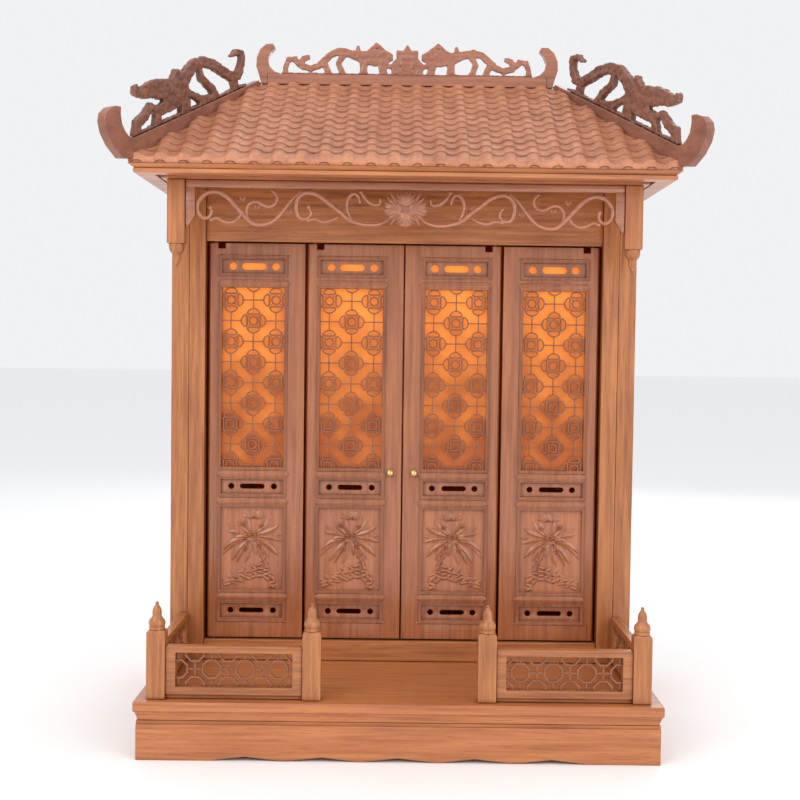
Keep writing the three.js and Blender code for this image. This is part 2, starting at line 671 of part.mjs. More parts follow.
function ridgeBeam() {
  const end = ridge.halfLength;
  const horn = outline([
    [-end + 22, ridge.bottom], [-end, ridge.bottom], [-end - 3, 838], [-end - 7, 850], [-end - 6.5, 862],
    [-end - 2, 873], [-end + 6, 880], [-end + 15, 880.5], [-end + 18, 876], [-end + 12.5, 870],
    [-end + 9, 861], [-end + 10.5, 851], [-end + 17, 844], [-end + 26, ridge.top],
  ]);
  const hornSolid = upright(horn, 1, ridge.thickness - 1);
  const beam = block(-end + 8, end - 8, 0, ridge.thickness, ridge.bottom, ridge.top);
  return join(beam, hornSolid, mirrored(hornSolid)).translate(0, ridge.front, 0);
}

// The left dragon of the crest: body, mane, jaw, tail fin, tail curl and the clouds that it stands on.
function ridgeDragon() {
  const standOn = ridge.top - 3;
  const cloud = (from, to, width) => band([from, [to, standOn]], [width, width + 1], 1);
  return [
    band([[-19, 866], [-34, 866], [-52, 864], [-70, 868], [-88, 873], [-101, 869], [-112, 859], [-124, 850],
      [-138, 851], [-150, 860]], [7, 24, 20, 11, 10, 9, 9, 8, 9, 8], 11),
    band([[-52, 868], [-41, 882], [-30, 870]], [12, 7, 10], 2),
    band([[-32, 857], [-22, 853], [-15, 860]], [8, 6, 3], 2),
    band([[-144, 854], [-138, 863], [-130, 865]], [9, 8, 5], 2),
    band([[-147, 862], [-159, 861], [-163, 850], [-163, standOn]], [6, 8, 7, 8], 3),
    band([[-65, 866], [-66, 881]], [9, 4], 1),
    band([[-84, 870], [-92, 857], [-84, standOn]], [9, 8, 9], 2),
    cloud([-59, 862], -58, 10), cloud([-112, 860], -103, 8), cloud([-36, 862], -30, 10),
  ];
}

function ridgeCrest() {
  const middle = ridge.thickness / 2;
  const [front, back] = [middle - crest.thickness / 2, middle + crest.thickness / 2];
  const flames = Array.from({ length: 9 }, (_, i) => {
    const angle = (Math.PI * i) / 8;
    const radius = i % 2 === 0 ? 21 : 16;
    return [radius * Math.cos(angle), 857 + radius * Math.sin(angle) * 1.2];
  });
  const pearl = outline([[21, 841], ...flames, [-21, 841]]);
  const half = ridgeDragon().map((shape) => upright(shape, front, back));
  const foot = block(-168, 168, front, back, ridge.top + gap, ridge.top + 3.2);
  const disc = upright(regular(0, 858, 11, 8), front - 1.5, back + 1.5);
  const whole = join(foot, ...half, ...half.map(mirrored), upright(pearl, front, back), disc);
  const above = block(-200, 200, -20, 40, ridge.top + gap, 900);
  return keepInside(whole, above).translate(0, ridge.front, 0);
}

// Top of a front hip beam at a distance down the hip.
function hipTop(distance) {
  return 832 - 0.447 * distance;
}

function hipBeam(backHip) {
  const fall = hipFall(backHip);
  const level = (distance) => ridge.bottom - hip.seat - fall * distance;
  const { length } = hipLine(backHip);
  if (backHip) {
    const rise = (distance) => level(distance) + 13;
    const plain = outline([[4, level(4)], [length, level(length)], [length, rise(length)], [4, rise(4)]]);
    return onHip(centred(plain, hip.width), true);
  }
  const horned = outline([
    [4, level(4)], [length - 4, level(length - 4)], [272, 693], [289, 705.5], [299.5, 719], [303.5, 732],
    [301.5, 741], [293, 748.5], [283, 752], [275, 752], [275.5, 742], [273.5, 733], [268, 725.5], [261, 720],
    [252, hipTop(252)], [4, hipTop(4)],
  ]);
  return onHip(centred(horned, hip.width), false);
}

// The dragon climbs down the hip: body, jaws, ear, chest, tail hook, front claw and the clouds below it.
function hipDragon() {
  const footTop = (distance) => hipTop(distance) + 4;
  const leg = (from, to, width) => band([from, [to, footTop(to) - 2]], [width, width + 2], 1);
  const footLine = (distance) => hipTop(distance) + gap;
  const foot = outline([[30, footLine(30)], [250, footLine(250)], [250, footTop(250)], [30, footTop(30)]]);
  const shapes = [
    band([[209, 782], [190, 788], [172, 791], [157, 801], [145, 820], [125, 832], [102, 834], [80, 829],
      [52, 824]], [22, 25, 22, 18, 15, 14, 14, 13, 13], 9),
    band([[203, 786], [226, 779], [243, 772], [248, 782]], [24, 18, 12, 6], 4),
    band([[158, 784], [182, 771], [206, 757], [221, 764]], [18, 18, 14, 6], 3),
    band([[176, 796], [169, 815]], [14, 6], 1),
    band([[64, 825], [46, 829], [38, 845], [39, 862]], [13, 12, 10, 9], 3),
    band([[37, 859], [50, 859], [61, 851]], [9, 8, 4], 2),
    band([[158, 800], [152, 762]], [16, 20], 1),
    band([[217, 764], [230, 747], [242, 738], [245, 720]], [8, 11, 13, 9], 3),
    band([[148, 790], [126, 786], [84, 792]], [9, 10, 12], 2),
    band([[126, 826], [122, 812], [102, 804], [84, 788]], [9, 9, 10, 12], 3),
    leg([205, 755], 207, 10), leg([58, 824], 50, 10), foot,
  ];
  const above = centred(outline([[-20, footLine(-20)], [320, footLine(320)], [320, 950], [-20, 950]]), 30);
  return onHip(keepInside(join(...shapes.map((shape) => centred(shape, dragon.thickness))), above), false);
}

function addRoof() {
  addPiece('eave_board', eaveBoard(), 'roofWood');
  addPiece('roof_shell', roofShell(), 'roofWood');
  addPiece('ridge_beam', ridgeBeam(), 'roofWood');
  addPiece('ridge_crest', ridgeCrest(), 'roofWood');
  const pieces = [
    ['hip_beam_front', hipBeam(false), 'roofWood'], ['hip_beam_back', hipBeam(true), 'roofWood'],
    ['hip_dragon', hipDragon(), 'carvedWood'],
  ];
  for (const [name, geometry, finish] of pieces) {
    addPiece(`${name}_left`, geometry, finish);
    addPiece(`${name}_right`, mirrored(geometry), finish);
  }
}

addBase();
addTerrace();
addCase();
addLeaves();
addPorch();
addRoof();

export default cabinet;
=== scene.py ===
import math
import random

import bmesh
import bpy
from mathutils import Matrix, Vector


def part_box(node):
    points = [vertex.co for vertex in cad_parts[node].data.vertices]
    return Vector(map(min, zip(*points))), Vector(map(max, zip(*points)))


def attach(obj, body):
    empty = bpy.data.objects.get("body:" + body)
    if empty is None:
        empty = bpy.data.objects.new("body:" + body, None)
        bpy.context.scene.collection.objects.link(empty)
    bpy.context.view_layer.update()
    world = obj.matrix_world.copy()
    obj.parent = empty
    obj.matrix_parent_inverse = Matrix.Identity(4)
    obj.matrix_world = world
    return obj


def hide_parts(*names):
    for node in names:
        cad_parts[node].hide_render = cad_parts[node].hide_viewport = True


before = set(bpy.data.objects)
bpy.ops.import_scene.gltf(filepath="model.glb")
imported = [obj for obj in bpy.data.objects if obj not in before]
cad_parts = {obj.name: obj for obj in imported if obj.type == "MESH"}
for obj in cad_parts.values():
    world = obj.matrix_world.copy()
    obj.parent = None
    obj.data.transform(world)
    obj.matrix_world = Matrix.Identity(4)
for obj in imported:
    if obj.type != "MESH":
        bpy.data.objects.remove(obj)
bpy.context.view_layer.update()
print("frame loaded")

mm = 0.001
seed = random.Random(7)
sides = ("left", "right")


# camera, lights and floor

viewpoint = dict(
    place=(-0.0006, -1.8012, 0.4711),
    yaw=0.0077,
    pitch=0.0438,
    roll=0.0134,
    lens=62.03,
    sensor=36,
    shift=(-0.0161, 0.0163),
)


def addCamera():
    yaw, pitch, roll = viewpoint["yaw"], viewpoint["pitch"], viewpoint["roll"]
    ahead = Vector((math.sin(yaw) * math.cos(pitch), math.cos(yaw) * math.cos(pitch), -math.sin(pitch)))
    level = Vector((math.cos(yaw), -math.sin(yaw), 0))
    upward = level.cross(ahead)
    right = level * math.cos(roll) + upward * math.sin(roll)
    top = upward * math.cos(roll) - level * math.sin(roll)
    camera = bpy.data.cameras.new("viewpoint")
    camera.lens = viewpoint["lens"]
    camera.sensor_width = viewpoint["sensor"]
    camera.shift_x, camera.shift_y = viewpoint["shift"]
    holder = bpy.data.objects.new("viewpoint", camera)
    turn = Matrix((right, top, -ahead)).transposed().to_4x4()
    holder.matrix_world = Matrix.Translation(viewpoint["place"]) @ turn
    bpy.context.scene.collection.objects.link(holder)
    bpy.context.scene.camera = holder


studio = dict(
    key=dict(place=(-1.5, -2.3, 1.9), size=1.6, power=26, warmth=(1.0, 0.97, 0.93)),
    fill=dict(place=(1.7, -2.2, 1.2), size=1.8, power=17, warmth=(1.0, 0.98, 0.96)),
    top=dict(place=(0.0, -0.6, 2.6), size=2.0, power=12, warmth=(1.0, 1.0, 1.0)),
    back=dict(place=(0.6, 2.4, 1.7), size=1.8, power=14, warmth=(1.0, 0.99, 0.97)),
)


def addLights():
    for name, lamp in studio.items():
        light = bpy.data.lights.new(name, "AREA")
        light.shape = "SQUARE"
        light.size = lamp["size"]
        light.energy = lamp["power"]
        light.color = lamp["warmth"]
        holder = bpy.data.objects.new(name, light)
        aim = Vector((0, 0, 0.42)) - Vector(lamp["place"])
        holder.location = lamp["place"]
        holder.rotation_euler = aim.to_track_quat("-Z", "Y").to_euler()
        bpy.context.scene.collection.objects.link(holder)
    world = bpy.data.worlds.new("studioAir")
    world.use_nodes = True
    air = world.node_tree.nodes["Background"]
    air.inputs["Color"].default_value = (0.97, 0.98, 1.0, 1)
    air.inputs["Strength"].default_value = 0.9
    bpy.context.scene.world = world
    bpy.context.scene.view_settings.view_transform = "Standard"


def addFloor():
    bm = bmesh.new()
    bmesh.ops.create_grid(bm, x_segments=1, y_segments=1, size=30)
    mesh = bpy.data.meshes.new("studioFloor")
    bm.to_mesh(mesh)
    bm.free()
    floor = bpy.data.objects.new("studioFloor", mesh)
    paint = bpy.data.materials.new("paleFloor")
    paint.use_nodes = True
    shader = paint.node_tree.nodes["Principled BSDF"]
    shader.inputs["Base Color"].default_value = (0.93, 0.93, 0.93, 1)
    shader.inputs["Roughness"].default_value = 0.9
    mesh.materials.append(paint)
    bpy.context.scene.collection.objects.link(floor)


addCamera()
addLights()
addFloor()
print("studio ready")


# finishes


def addNode(tree, kind, **settings):
    node = tree.nodes.new(kind)
    for name, value in settings.items():
        setattr(node, name, value)
    return node


def feed(tree, *pairs):
    for source, target in pairs:
        if hasattr(source, "is_output"):
            tree.links.new(source, target)
        else:
            target.default_value = source


def newGroup(name, inputs, outputs):
    group = bpy.data.node_groups.new(name, "ShaderNodeTree")
    for title, kind, value in inputs:
        socket = group.interface.new_socket(title, in_out="INPUT", socket_type=kind)
        socket.default_value = value
    for title, kind in outputs:
        group.interface.new_socket(title, in_out="OUTPUT", socket_type=kind)
    entry = group.nodes.new("NodeGroupInput")
    leave = group.nodes.new("NodeGroupOutput")
    return group, entry.outputs, leave.inputs


def mathNode(tree, operation, first, second=0.0, third=None):
    node = addNode(tree, "ShaderNodeMath", operation=operation)
    feed(tree, (first, node.inputs[0]), (second, node.inputs[1]))
    if third is not None:
        feed(tree, (third, node.inputs[2]))
    return node.outputs[0]


def blendColours(tree, amount, first, second, mode="MIX"):
    node = addNode(tree, "ShaderNodeMix", data_type="RGBA", blend_type=mode)
    feed(tree, (amount, node.inputs["Factor"]), (first, node.inputs[6]), (second, node.inputs[7]))
    return node.outputs[2]


def spread(tree, value, low, high, toLow=0.0, toHigh=1.0):
    node = addNode(tree, "ShaderNodeMapRange")
    node.inputs["To Min"].default_value = toLow
    node.inputs["To Max"].default_value = toHigh
    feed(tree, (value, node.inputs["Value"]), (low, node.inputs["From Min"]), (high, node.inputs["From Max"]))
    return node.outputs["Result"]


def noise(tree, vector, scale, detail=4.0, rough=0.55, twist=0.0):
    node = addNode(tree, "ShaderNodeTexNoise")
    feed(tree, (vector, node.inputs["Vector"]), (scale, node.inputs["Scale"]))
    node.inputs["Detail"].default_value = detail
    node.inputs["Roughness"].default_value = rough
    node.inputs["Distortion"].default_value = twist
    return node.outputs["Fac"]


def makeWoodGrain():
    # the stretch squeezes the pattern along the grain, so its figure runs that way
    group, given, made = newGroup(
        "woodGrain",
        [
            ("Light", "NodeSocketColor", (0.5, 0.25, 0.12, 1)),
            ("Dark", "NodeSocketColor", (0.25, 0.1, 0.04, 1)),
            ("Stretch", "NodeSocketVector", (1, 1, 0.05)),
            ("Figure", "NodeSocketFloat", 0.5),
            ("Shine", "NodeSocketFloat", 0.35),
        ],
        [("Color", "NodeSocketColor"), ("Roughness", "NodeSocketFloat"), ("Height", "NodeSocketFloat")],
    )
    place = addNode(group, "ShaderNodeTexCoord").outputs["Object"]
    drawn = addNode(group, "ShaderNodeVectorMath", operation="MULTIPLY")
    feed(group, (place, drawn.inputs[0]), (given["Stretch"], drawn.inputs[1]))
    broad = noise(group, drawn.outputs[0], 26.0, 3.0, 0.5, 0.9)
    rings = addNode(group, "ShaderNodeMath", operation="SINE")
    feed(group, (mathNode(group, "MULTIPLY", broad, 46.0), rings.inputs[0]))
    ringed = spread(group, rings.outputs[0], -1.0, 1.0)
    streak = noise(group, drawn.outputs[0], 210.0, 5.0, 0.62, 0.2)
    pores = spread(group, noise(group, drawn.outputs[0], 900.0, 2.0, 0.5), 0.58, 0.74)
    cloud = noise(group, place, 7.0, 2.0, 0.5)
    figure = mathNode(group, "MULTIPLY", ringed, given["Figure"])
    lines = mathNode(group, "MULTIPLY", spread(group, streak, 0.32, 0.7), 0.75)
    amount = mathNode(group, "ADD", mathNode(group, "MULTIPLY", figure, 0.45), lines)
    amount = mathNode(group, "ADD", amount, spread(group, cloud, 0.3, 0.7, -0.16, 0.16))
    body = blendColours(group, spread(group, amount, 0.1, 1.0), given["Light"], given["Dark"])
    deep = blendColours(group, 1.0, given["Dark"], (0.55, 0.5, 0.48, 1), "MULTIPLY")
    stained = blendColours(group, mathNode(group, "MULTIPLY", pores, 0.5), body, deep)
    rough = mathNode(group, "ADD", given["Shine"], spread(group, streak, 0.3, 0.7, -0.04, 0.07))
    height = mathNode(group, "SUBTRACT", mathNode(group, "MULTIPLY", streak, 0.4), pores)
    feed(group, (stained, made["Color"]), (rough, made["Roughness"]), (height, made["Height"]))
    return group


def makePaintedShadeAndHighlight():
    # painted shade and painted highlight: the colour is darkened in hollows found by ambient occlusion, and
    # edges that stick out are painted lighter
    group, given, made = newGroup(
        "paintedShadeAndHighlight",
        [
            ("Color", "NodeSocketColor", (0.5, 0.3, 0.2, 1)),
            ("Reach", "NodeSocketFloat", 0.006),
            ("Depth", "NodeSocketFloat", 0.6),
            ("Edge Light", "NodeSocketFloat", 0.3),
        ],
        [("Color", "NodeSocketColor"), ("Hollow", "NodeSocketFloat")],
    )
    hide = addNode(group, "ShaderNodeAmbientOcclusion", samples=6)
    feed(group, (given["Reach"], hide.inputs["Distance"]))
    hollow = spread(group, hide.outputs["AO"], 0.35, 0.95, 1.0, 0.0)
    point = addNode(group, "ShaderNodeNewGeometry").outputs["Pointiness"]
    edge = mathNode(group, "MULTIPLY", spread(group, point, 0.52, 0.62), given["Edge Light"])
    paintedShadeColour = blendColours(group, 1.0, given["Color"], (0.33, 0.26, 0.22, 1), "MULTIPLY")
    shaded = blendColours(group, mathNode(group, "MULTIPLY", hollow, given["Depth"]), given["Color"], paintedShadeColour)
    bright = blendColours(group, 1.0, given["Color"], (1.7, 1.6, 1.5, 1), "MULTIPLY")
    shadedAndLit = blendColours(group, edge, shaded, bright)
    feed(group, (shadedAndLit, made["Color"]), (hollow, made["Hollow"]))
    return group


woodGrain = makeWoodGrain()
paintedShadeAndHighlight = makePaintedShadeAndHighlight()


def placeGroup(tree, group, **values):
    node = addNode(tree, "ShaderNodeGroup", node_tree=group)
    for title, value in values.items():
        node.inputs[title.replace("_", " ")].default_value = value
    return node


upright = (1.0, 1.0, 0.045)
across = (0.045, 1.0, 1.0)
inward = (1.0, 0.045, 1.0)

woods = dict(
    case=dict(light=(0.50, 0.185, 0.055, 1), dark=(0.26, 0.075, 0.02, 1), shine=0.36, figure=0.55),
    base=dict(light=(0.54, 0.19, 0.06, 1), dark=(0.33, 0.095, 0.028, 1), shine=0.34, figure=0.5),
    door=dict(light=(0.42, 0.145, 0.055, 1), dark=(0.23, 0.065, 0.022, 1), shine=0.30, figure=0.35),
    lattice=dict(light=(0.30, 0.10, 0.035, 1), dark=(0.16, 0.048, 0.016, 1), shine=0.28, figure=0.2),
    spandrel=dict(light=(0.47, 0.19, 0.10, 1), dark=(0.27, 0.09, 0.045, 1), shine=0.27, figure=0.2),
    tile=dict(light=(0.50, 0.205, 0.105, 1), dark=(0.30, 0.10, 0.045, 1), shine=0.46, figure=0.3),
    eave=dict(light=(0.56, 0.22, 0.085, 1), dark=(0.33, 0.105, 0.035, 1), shine=0.38, figure=0.35),
    hip=dict(light=(0.30, 0.11, 0.062, 1), dark=(0.16, 0.053, 0.03, 1), shine=0.36, figure=0.4),
    carved=dict(light=(0.235, 0.085, 0.045, 1), dark=(0.11, 0.036, 0.02, 1), shine=0.42, figure=0.25),
    crest=dict(light=(0.40, 0.155, 0.085, 1), dark=(0.21, 0.07, 0.036, 1), shine=0.36, figure=0.25),
)


def woodFinish(name, wood, grain, coat=0.35, reach=0.006, depth=0.55, edge=0.25, relief=0.25):
    look = woods[wood]
    finish = bpy.data.materials.new(name)
    finish.use_nodes = True
    tree = finish.node_tree
    shader = tree.nodes["Principled BSDF"]
    figure = placeGroup(
        tree,
        woodGrain,
        Light=look["light"],
        Dark=look["dark"],
        Stretch=grain,
        Figure=look["figure"],
        Shine=look["shine"],
    )
    # painted shade in the hollows and painted highlight on the edges, mixed into the base colour
    shadeAndHighlightNode = placeGroup(tree, paintedShadeAndHighlight, Reach=reach, Depth=depth, Edge_Light=edge)
    bump = addNode(tree, "ShaderNodeBump")
    bump.inputs["Strength"].default_value = relief
    bump.inputs["Distance"].default_value = 0.0004
    dull = mathNode(tree, "MULTIPLY", shadeAndHighlightNode.outputs["Hollow"], 0.2)
    rough = mathNode(tree, "ADD", figure.outputs["Roughness"], dull)
    feed(
        tree,
        (figure.outputs["Color"], shadeAndHighlightNode.inputs["Color"]),
        (shadeAndHighlightNode.outputs["Color"], shader.inputs["Base Color"]),
        (rough, shader.inputs["Roughness"]),
        (figure.outputs["Height"], bump.inputs["Height"]),
        (bump.outputs["Normal"], shader.inputs["Normal"]),
    )
    shader.inputs["Coat Weight"].default_value = coat
    shader.inputs["Coat Roughness"].default_value = 0.16
    shader.inputs["Specular IOR Level"].default_value = 0.5
    return finish


finishes = dict(
    postWood=woodFinish("postWood", "case", upright),
    wallWood=woodFinish("wallWood", "case", upright),
    sillWood=woodFinish("sillWood", "case", across),
    sideWood=woodFinish("sideWood", "case", inward),
    slabWood=woodFinish("slabWood", "base", across),
    apronWood=woodFinish("apronWood", "base", across),
    apronSideWood=woodFinish("apronSideWood", "base", inward),
    leafWood=woodFinish("leafWood", "door", upright, coat=0.6, depth=0.75),
    latticeWood=woodFinish("latticeWood", "lattice", upright, coat=0.7, reach=0.003),
    railLatticeWood=woodFinish("railLatticeWood", "lattice", across, coat=0.6, reach=0.003),
    vineWood=woodFinish("vineWood", "spandrel", across, coat=0.65, reach=0.005),
    tileWood=woodFinish("tileWood", "tile", (0.2, 0.2, 0.2), coat=0.12, reach=0.005, depth=0.7, edge=0.5),
    eaveWood=woodFinish("eaveWood", "eave", across, coat=0.3, depth=0.6),
    hipWood=woodFinish("hipWood", "hip", (0.3, 0.1, 0.3), coat=0.35),
    dragonWood=woodFinish(
        "dragonWood", "carved", (0.4, 0.4, 0.4), coat=0.25, reach=0.008, depth=0.7, edge=0.55
    ),
    crestWood=woodFinish("crestWood", "crest", across, coat=0.35, reach=0.006, depth=0.75, edge=0.5),
    ridgeWood=woodFinish("ridgeWood", "crest", across, coat=0.35),
)


def amberFinish():
    finish = bpy.data.materials.new("amberGlass")
    finish.use_nodes = True
    tree = finish.node_tree
    shader = tree.nodes["Principled BSDF"]
    place = addNode(tree, "ShaderNodeTexCoord").outputs["Object"]
    split = addNode(tree, "ShaderNodeSeparateXYZ")
    feed(tree, (place, split.inputs[0]))
    # painted light: the pane is made lighter and yellower towards the top, as if lit from inside the cabinet;
    # the cloud adds random tone
    rise = spread(tree, split.outputs["Z"], 0.33, 0.57)
    cloud = spread(tree, noise(tree, place, 22.0, 3.0, 0.5), 0.35, 0.7, -0.25, 0.25)
    glowAndTone = mathNode(tree, "ADD", rise, cloud)
    colour = blendColours(tree, glowAndTone, (0.62, 0.17, 0.02, 1), (0.98, 0.42, 0.06, 1))
    # painted glow: emission in these colours stands in for a lamp inside the cabinet
    glow = blendColours(tree, glowAndTone, (0.22, 0.045, 0.004, 1), (0.62, 0.19, 0.02, 1))
    ripple = addNode(tree, "ShaderNodeBump")
    ripple.inputs["Strength"].default_value = 0.12
    ripple.inputs["Distance"].default_value = 0.0006
    feed(
        tree,
        (colour, shader.inputs["Base Color"]),
        (glow, shader.inputs["Emission Color"]),
        (noise(tree, place, 60.0, 2.0, 0.5), ripple.inputs["Height"]),
        (ripple.outputs["Normal"], shader.inputs["Normal"]),
    )
    shader.inputs["Emission Strength"].default_value = 0.6
    shader.inputs["Transmission Weight"].default_value = 0.35
    shader.inputs["Roughness"].default_value = 0.22
    shader.inputs["IOR"].default_value = 1.49
    return finish


def brassFinish():
    finish = bpy.data.materials.new("knobBrass")
    finish.use_nodes = True
    tree = finish.node_tree
    shader = tree.nodes["Principled BSDF"]
    place = addNode(tree, "ShaderNodeTexCoord").outputs["Object"]
    smear = noise(tree, place, 420.0, 4.0, 0.6)
    colour = blendColours(tree, spread(tree, smear, 0.35, 0.7), (0.80, 0.55, 0.22, 1), (0.58, 0.36, 0.12, 1))
    feed(
        tree,
        (colour, shader.inputs["Base Color"]),
        (spread(tree, smear, 0.3, 0.7, 0.18, 0.36), shader.inputs["Roughness"]),
    )
    shader.inputs["Metallic"].default_value = 1.0
    return finish


finishes["amber"] = amberFinish()
finishes["brass"] = brassFinish()
print("finishes mixed")


# helpers for every piece


def corners(node):
    low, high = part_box(node)
    return Vector(low) / mm, Vector(high) / mm


def wrapPiece(name, bm, finish, body, slotName, *nodes, sharp=32):
    # the shape, made in millimetres, becomes a piece that is smooth except at true corners
    bmesh.ops.scale(bm, vec=(mm, mm, mm), verts=bm.verts)
    mesh = bpy.data.meshes.new(name)
    bm.to_mesh(mesh)
    bm.free()
    mesh.polygons.foreach_set("use_smooth", [True] * len(mesh.polygons))
    mesh.set_sharp_from_angle(angle=math.radians(sharp))
    mesh.materials.append(finishes[finish])
    piece = bpy.data.objects.new(name, mesh)
    bpy.context.scene.collection.objects.link(piece)
    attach(piece, body)
    if nodes:
        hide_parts(*nodes)
    return piece


def pour(bm, mesh, matrix=None):
    # adds a mesh's faces to the shape and throws the mesh away
    if matrix is not None:
        mesh.transform(matrix)
        if matrix.determinant() < 0:
            mesh.flip_normals()
    bm.from_mesh(mesh)
    bpy.data.meshes.remove(mesh)


def curveMesh(curve):
    holder = bpy.data.objects.new("curveHolder", curve)
    bpy.context.scene.collection.objects.link(holder)
    bpy.context.view_layer.update()
    solid = holder.evaluated_get(bpy.context.evaluated_depsgraph_get())
    mesh = bpy.data.meshes.new_from_object(solid)
    bpy.data.objects.remove(holder)
    bpy.data.curves.remove(curve)
    return mesh


facing = Matrix.Rotation(math.pi / 2, 4, "X")  # lays a flat drawing up against the front


def plate(outlines, thick, soft, steps=2):
    # a flat drawing, outer line first and then its holes, given thickness and rounded edges
    curve = bpy.data.curves.new("plate", "CURVE")
    curve.dimensions = "2D"
    curve.fill_mode = "BOTH"
    curve.extrude = thick / 2 - soft
    curve.bevel_depth = soft
    curve.bevel_resolution = steps
    curve.offset = -soft
    for outline in outlines:
        spline = curve.splines.new("POLY")
        spline.points.add(len(outline) - 1)
        for point, (x, z) in zip(spline.points, outline):
            point.co = (x, z, 0, 1)
        spline.use_cyclic_u = True
    mesh = curveMesh(curve)
    bm = bmesh.new()
    bm.from_mesh(mesh)
    bmesh.ops.remove_doubles(bm, verts=bm.verts, dist=0.005)
    bmesh.ops.recalc_face_normals(bm, faces=bm.faces)
    bm.to_mesh(mesh)
    bm.free()
    return mesh


def standPlate(bm, outlines, front, back, soft, steps=2):
    mesh = plate(outlines, back - front, soft, steps)
    pour(bm, mesh, Matrix.Translation((0, (front + back) / 2, 0)) @ facing)


def tube(points, widths, round=6, closed=False, fine=6):
    # a rod along a smooth line, as thick at each point as its width says
    curve = bpy.data.curves.new("tube", "CURVE")
    curve.dimensions = "3D"
    curve.bevel_depth = 0.5
    curve.bevel_resolution = round // 2 - 1
    curve.use_fill_caps = True
    curve.resolution_u = fine
    spline = curve.splines.new("BEZIER")
    spline.bezier_points.add(len(points) - 1)
    for knot, place, width in zip(spline.bezier_points, points, widths):
        knot.co = place
        knot.handle_left_type = knot.handle_right_type = "AUTO"
        knot.radius = width
    spline.use_cyclic_u = closed
    mesh = curveMesh(curve)
    bm = bmesh.new()
    bm.from_mesh(mesh)
    bmesh.ops.remove_doubles(bm, verts=bm.verts, dist=0.005)
    bmesh.ops.recalc_face_normals(bm, faces=bm.faces)
    bm.to_mesh(mesh)
    bm.free()
    return mesh


def box(bm, low, high, soft=0.6, steps=2):
    made = bmesh.ops.create_cube(bm, size=1)["verts"]
    size = [high[i] - low[i] for i in range(3)]
    middle = [(high[i] + low[i]) / 2 for i in range(3)]
    bmesh.ops.scale(bm, vec=size, verts=made)
    bmesh.ops.translate(bm, vec=middle, verts=made)
    if soft:
        edges = list({edge for vert in made for edge in vert.link_edges})
        bmesh.ops.bevel(
            bm, geom=edges, offset=soft, segments=steps, profile=0.5, affect="EDGES", material=-1
        )


def rectangle(x0, z0, x1, z1):
    return [(x0, z0), (x1, z0), (x1, z1), (x0, z1)]


def ring(x, z, radius, count=24, squash=1.0):
    turns = [2 * math.pi * i / count for i in range(count)]
    return [(x + radius * math.cos(a), z + radius * squash * math.sin(a)) for a in turns]


def stadium(x0, x1, z, height, count=10):
    radius = height / 2
    line = []
    for centre, start in ((x1 - radius, -math.pi / 2), (x0 + radius, math.pi / 2)):
        for i in range(count + 1):
            angle = start + math.pi * i / count
            line.append((centre + radius * math.cos(angle), z + radius * math.sin(angle)))
    return line


def turned(bm, profile, middle, steps=32):
    # a lathe-turned shape: the profile gives radius and height from the bottom up
    verts = [bm.verts.new((middle[0] + r, middle[1], middle[2] + z)) for r, z in profile]
    edges = [bm.edges.new(pair) for pair in zip(verts, verts[1:])]
    bmesh.ops.spin(
        bm,
        geom=verts + edges,
        cent=middle,
        axis=(0, 0, 1),
        angle=2 * math.pi,
        steps=steps,
        use_merge=True,
    )
    bmesh.ops.remove_doubles(bm, verts=bm.verts, dist=0.005)
    bmesh.ops.recalc_face_normals(bm, faces=bm.faces)


# the leaves of the doors, with their lattices

leafPlan = dict(
    proud=2.5,  # how far the beads stand out of the face
    skin=3.0,  # depth of the sunk fields
    pin=8.0,  # length of the pivot pins above and below
    pivot=9.0,  # the hinge edge is round about a line this far in
    field=(18.0, 98.5),
    window=(223.3, 455.8),
    slotFields=[(25.3, 44.3), (188.3, 206.8), (474.3, 492.3)],
    relief=(63.3, 170.3),
    bars=[(53.6, 9.6), (177.8, 9.2), (213.8, 9.2), (461.3, 9.2)],
    barEnds=(12.6, 106.4),
    thinBars=[(21.0, 3.0), (496.6, 2.6)],
    notch=(12.5, 22.0, 7.0),
)


def fieldFrame(bm, x0, z0, x1, z1, front, height=1.5, width=4.6):
    # a mitred moulding round a sunk field: a fine ridge outside, then a hollow falling inwards
    steps = [(0, 0.4), (0.35, height), (1.0, height), (1.5, height * 0.35), (width - 1.3, 0.25)]
    steps += [(width - 1.0, height * 0.62), (width - 0.45, height * 0.62), (width - 0.1, 0.1)]
    loops = []
    for inset, lift in steps + [(width - 0.1, -1.0), (0, -1.0)]:
        around = rectangle(x0 - width + inset, z0 - width + inset, x1 + width - inset, z1 + width - inset)
        loops.append([bm.verts.new((x, front - lift, z)) for x, z in around])
    made = []
    for first, second in zip(loops, loops[1:] + loops[:1]):
        for i in range(4):
            j = (i + 1) % 4
            made.append(bm.faces.new((first[i], first[j], second[j], second[i])))
    bmesh.ops.recalc_face_normals(bm, faces=made)


def pointedBar(bm, z, height, front, lift=2.4):
    x0, x1 = leafPlan["barEnds"]
    layers = [(height, lift * 0.55, 0.9), (height * 0.62, lift * 0.85, 1.0), (height * 0.2, lift, 0.4)]
    for tall, rise, soft in layers:
        half = tall / 2
        tip = (height - tall) / 2
        line = [(x0 + tip, z), (x0 + tip + half, z - half), (x1 - tip - half, z - half)]
        line += [(x1 - tip, z), (x1 - tip - half, z + half), (x0 + tip + half, z + half)]
        standPlate(bm, [line], front - rise, front + 1.2, soft, 3)


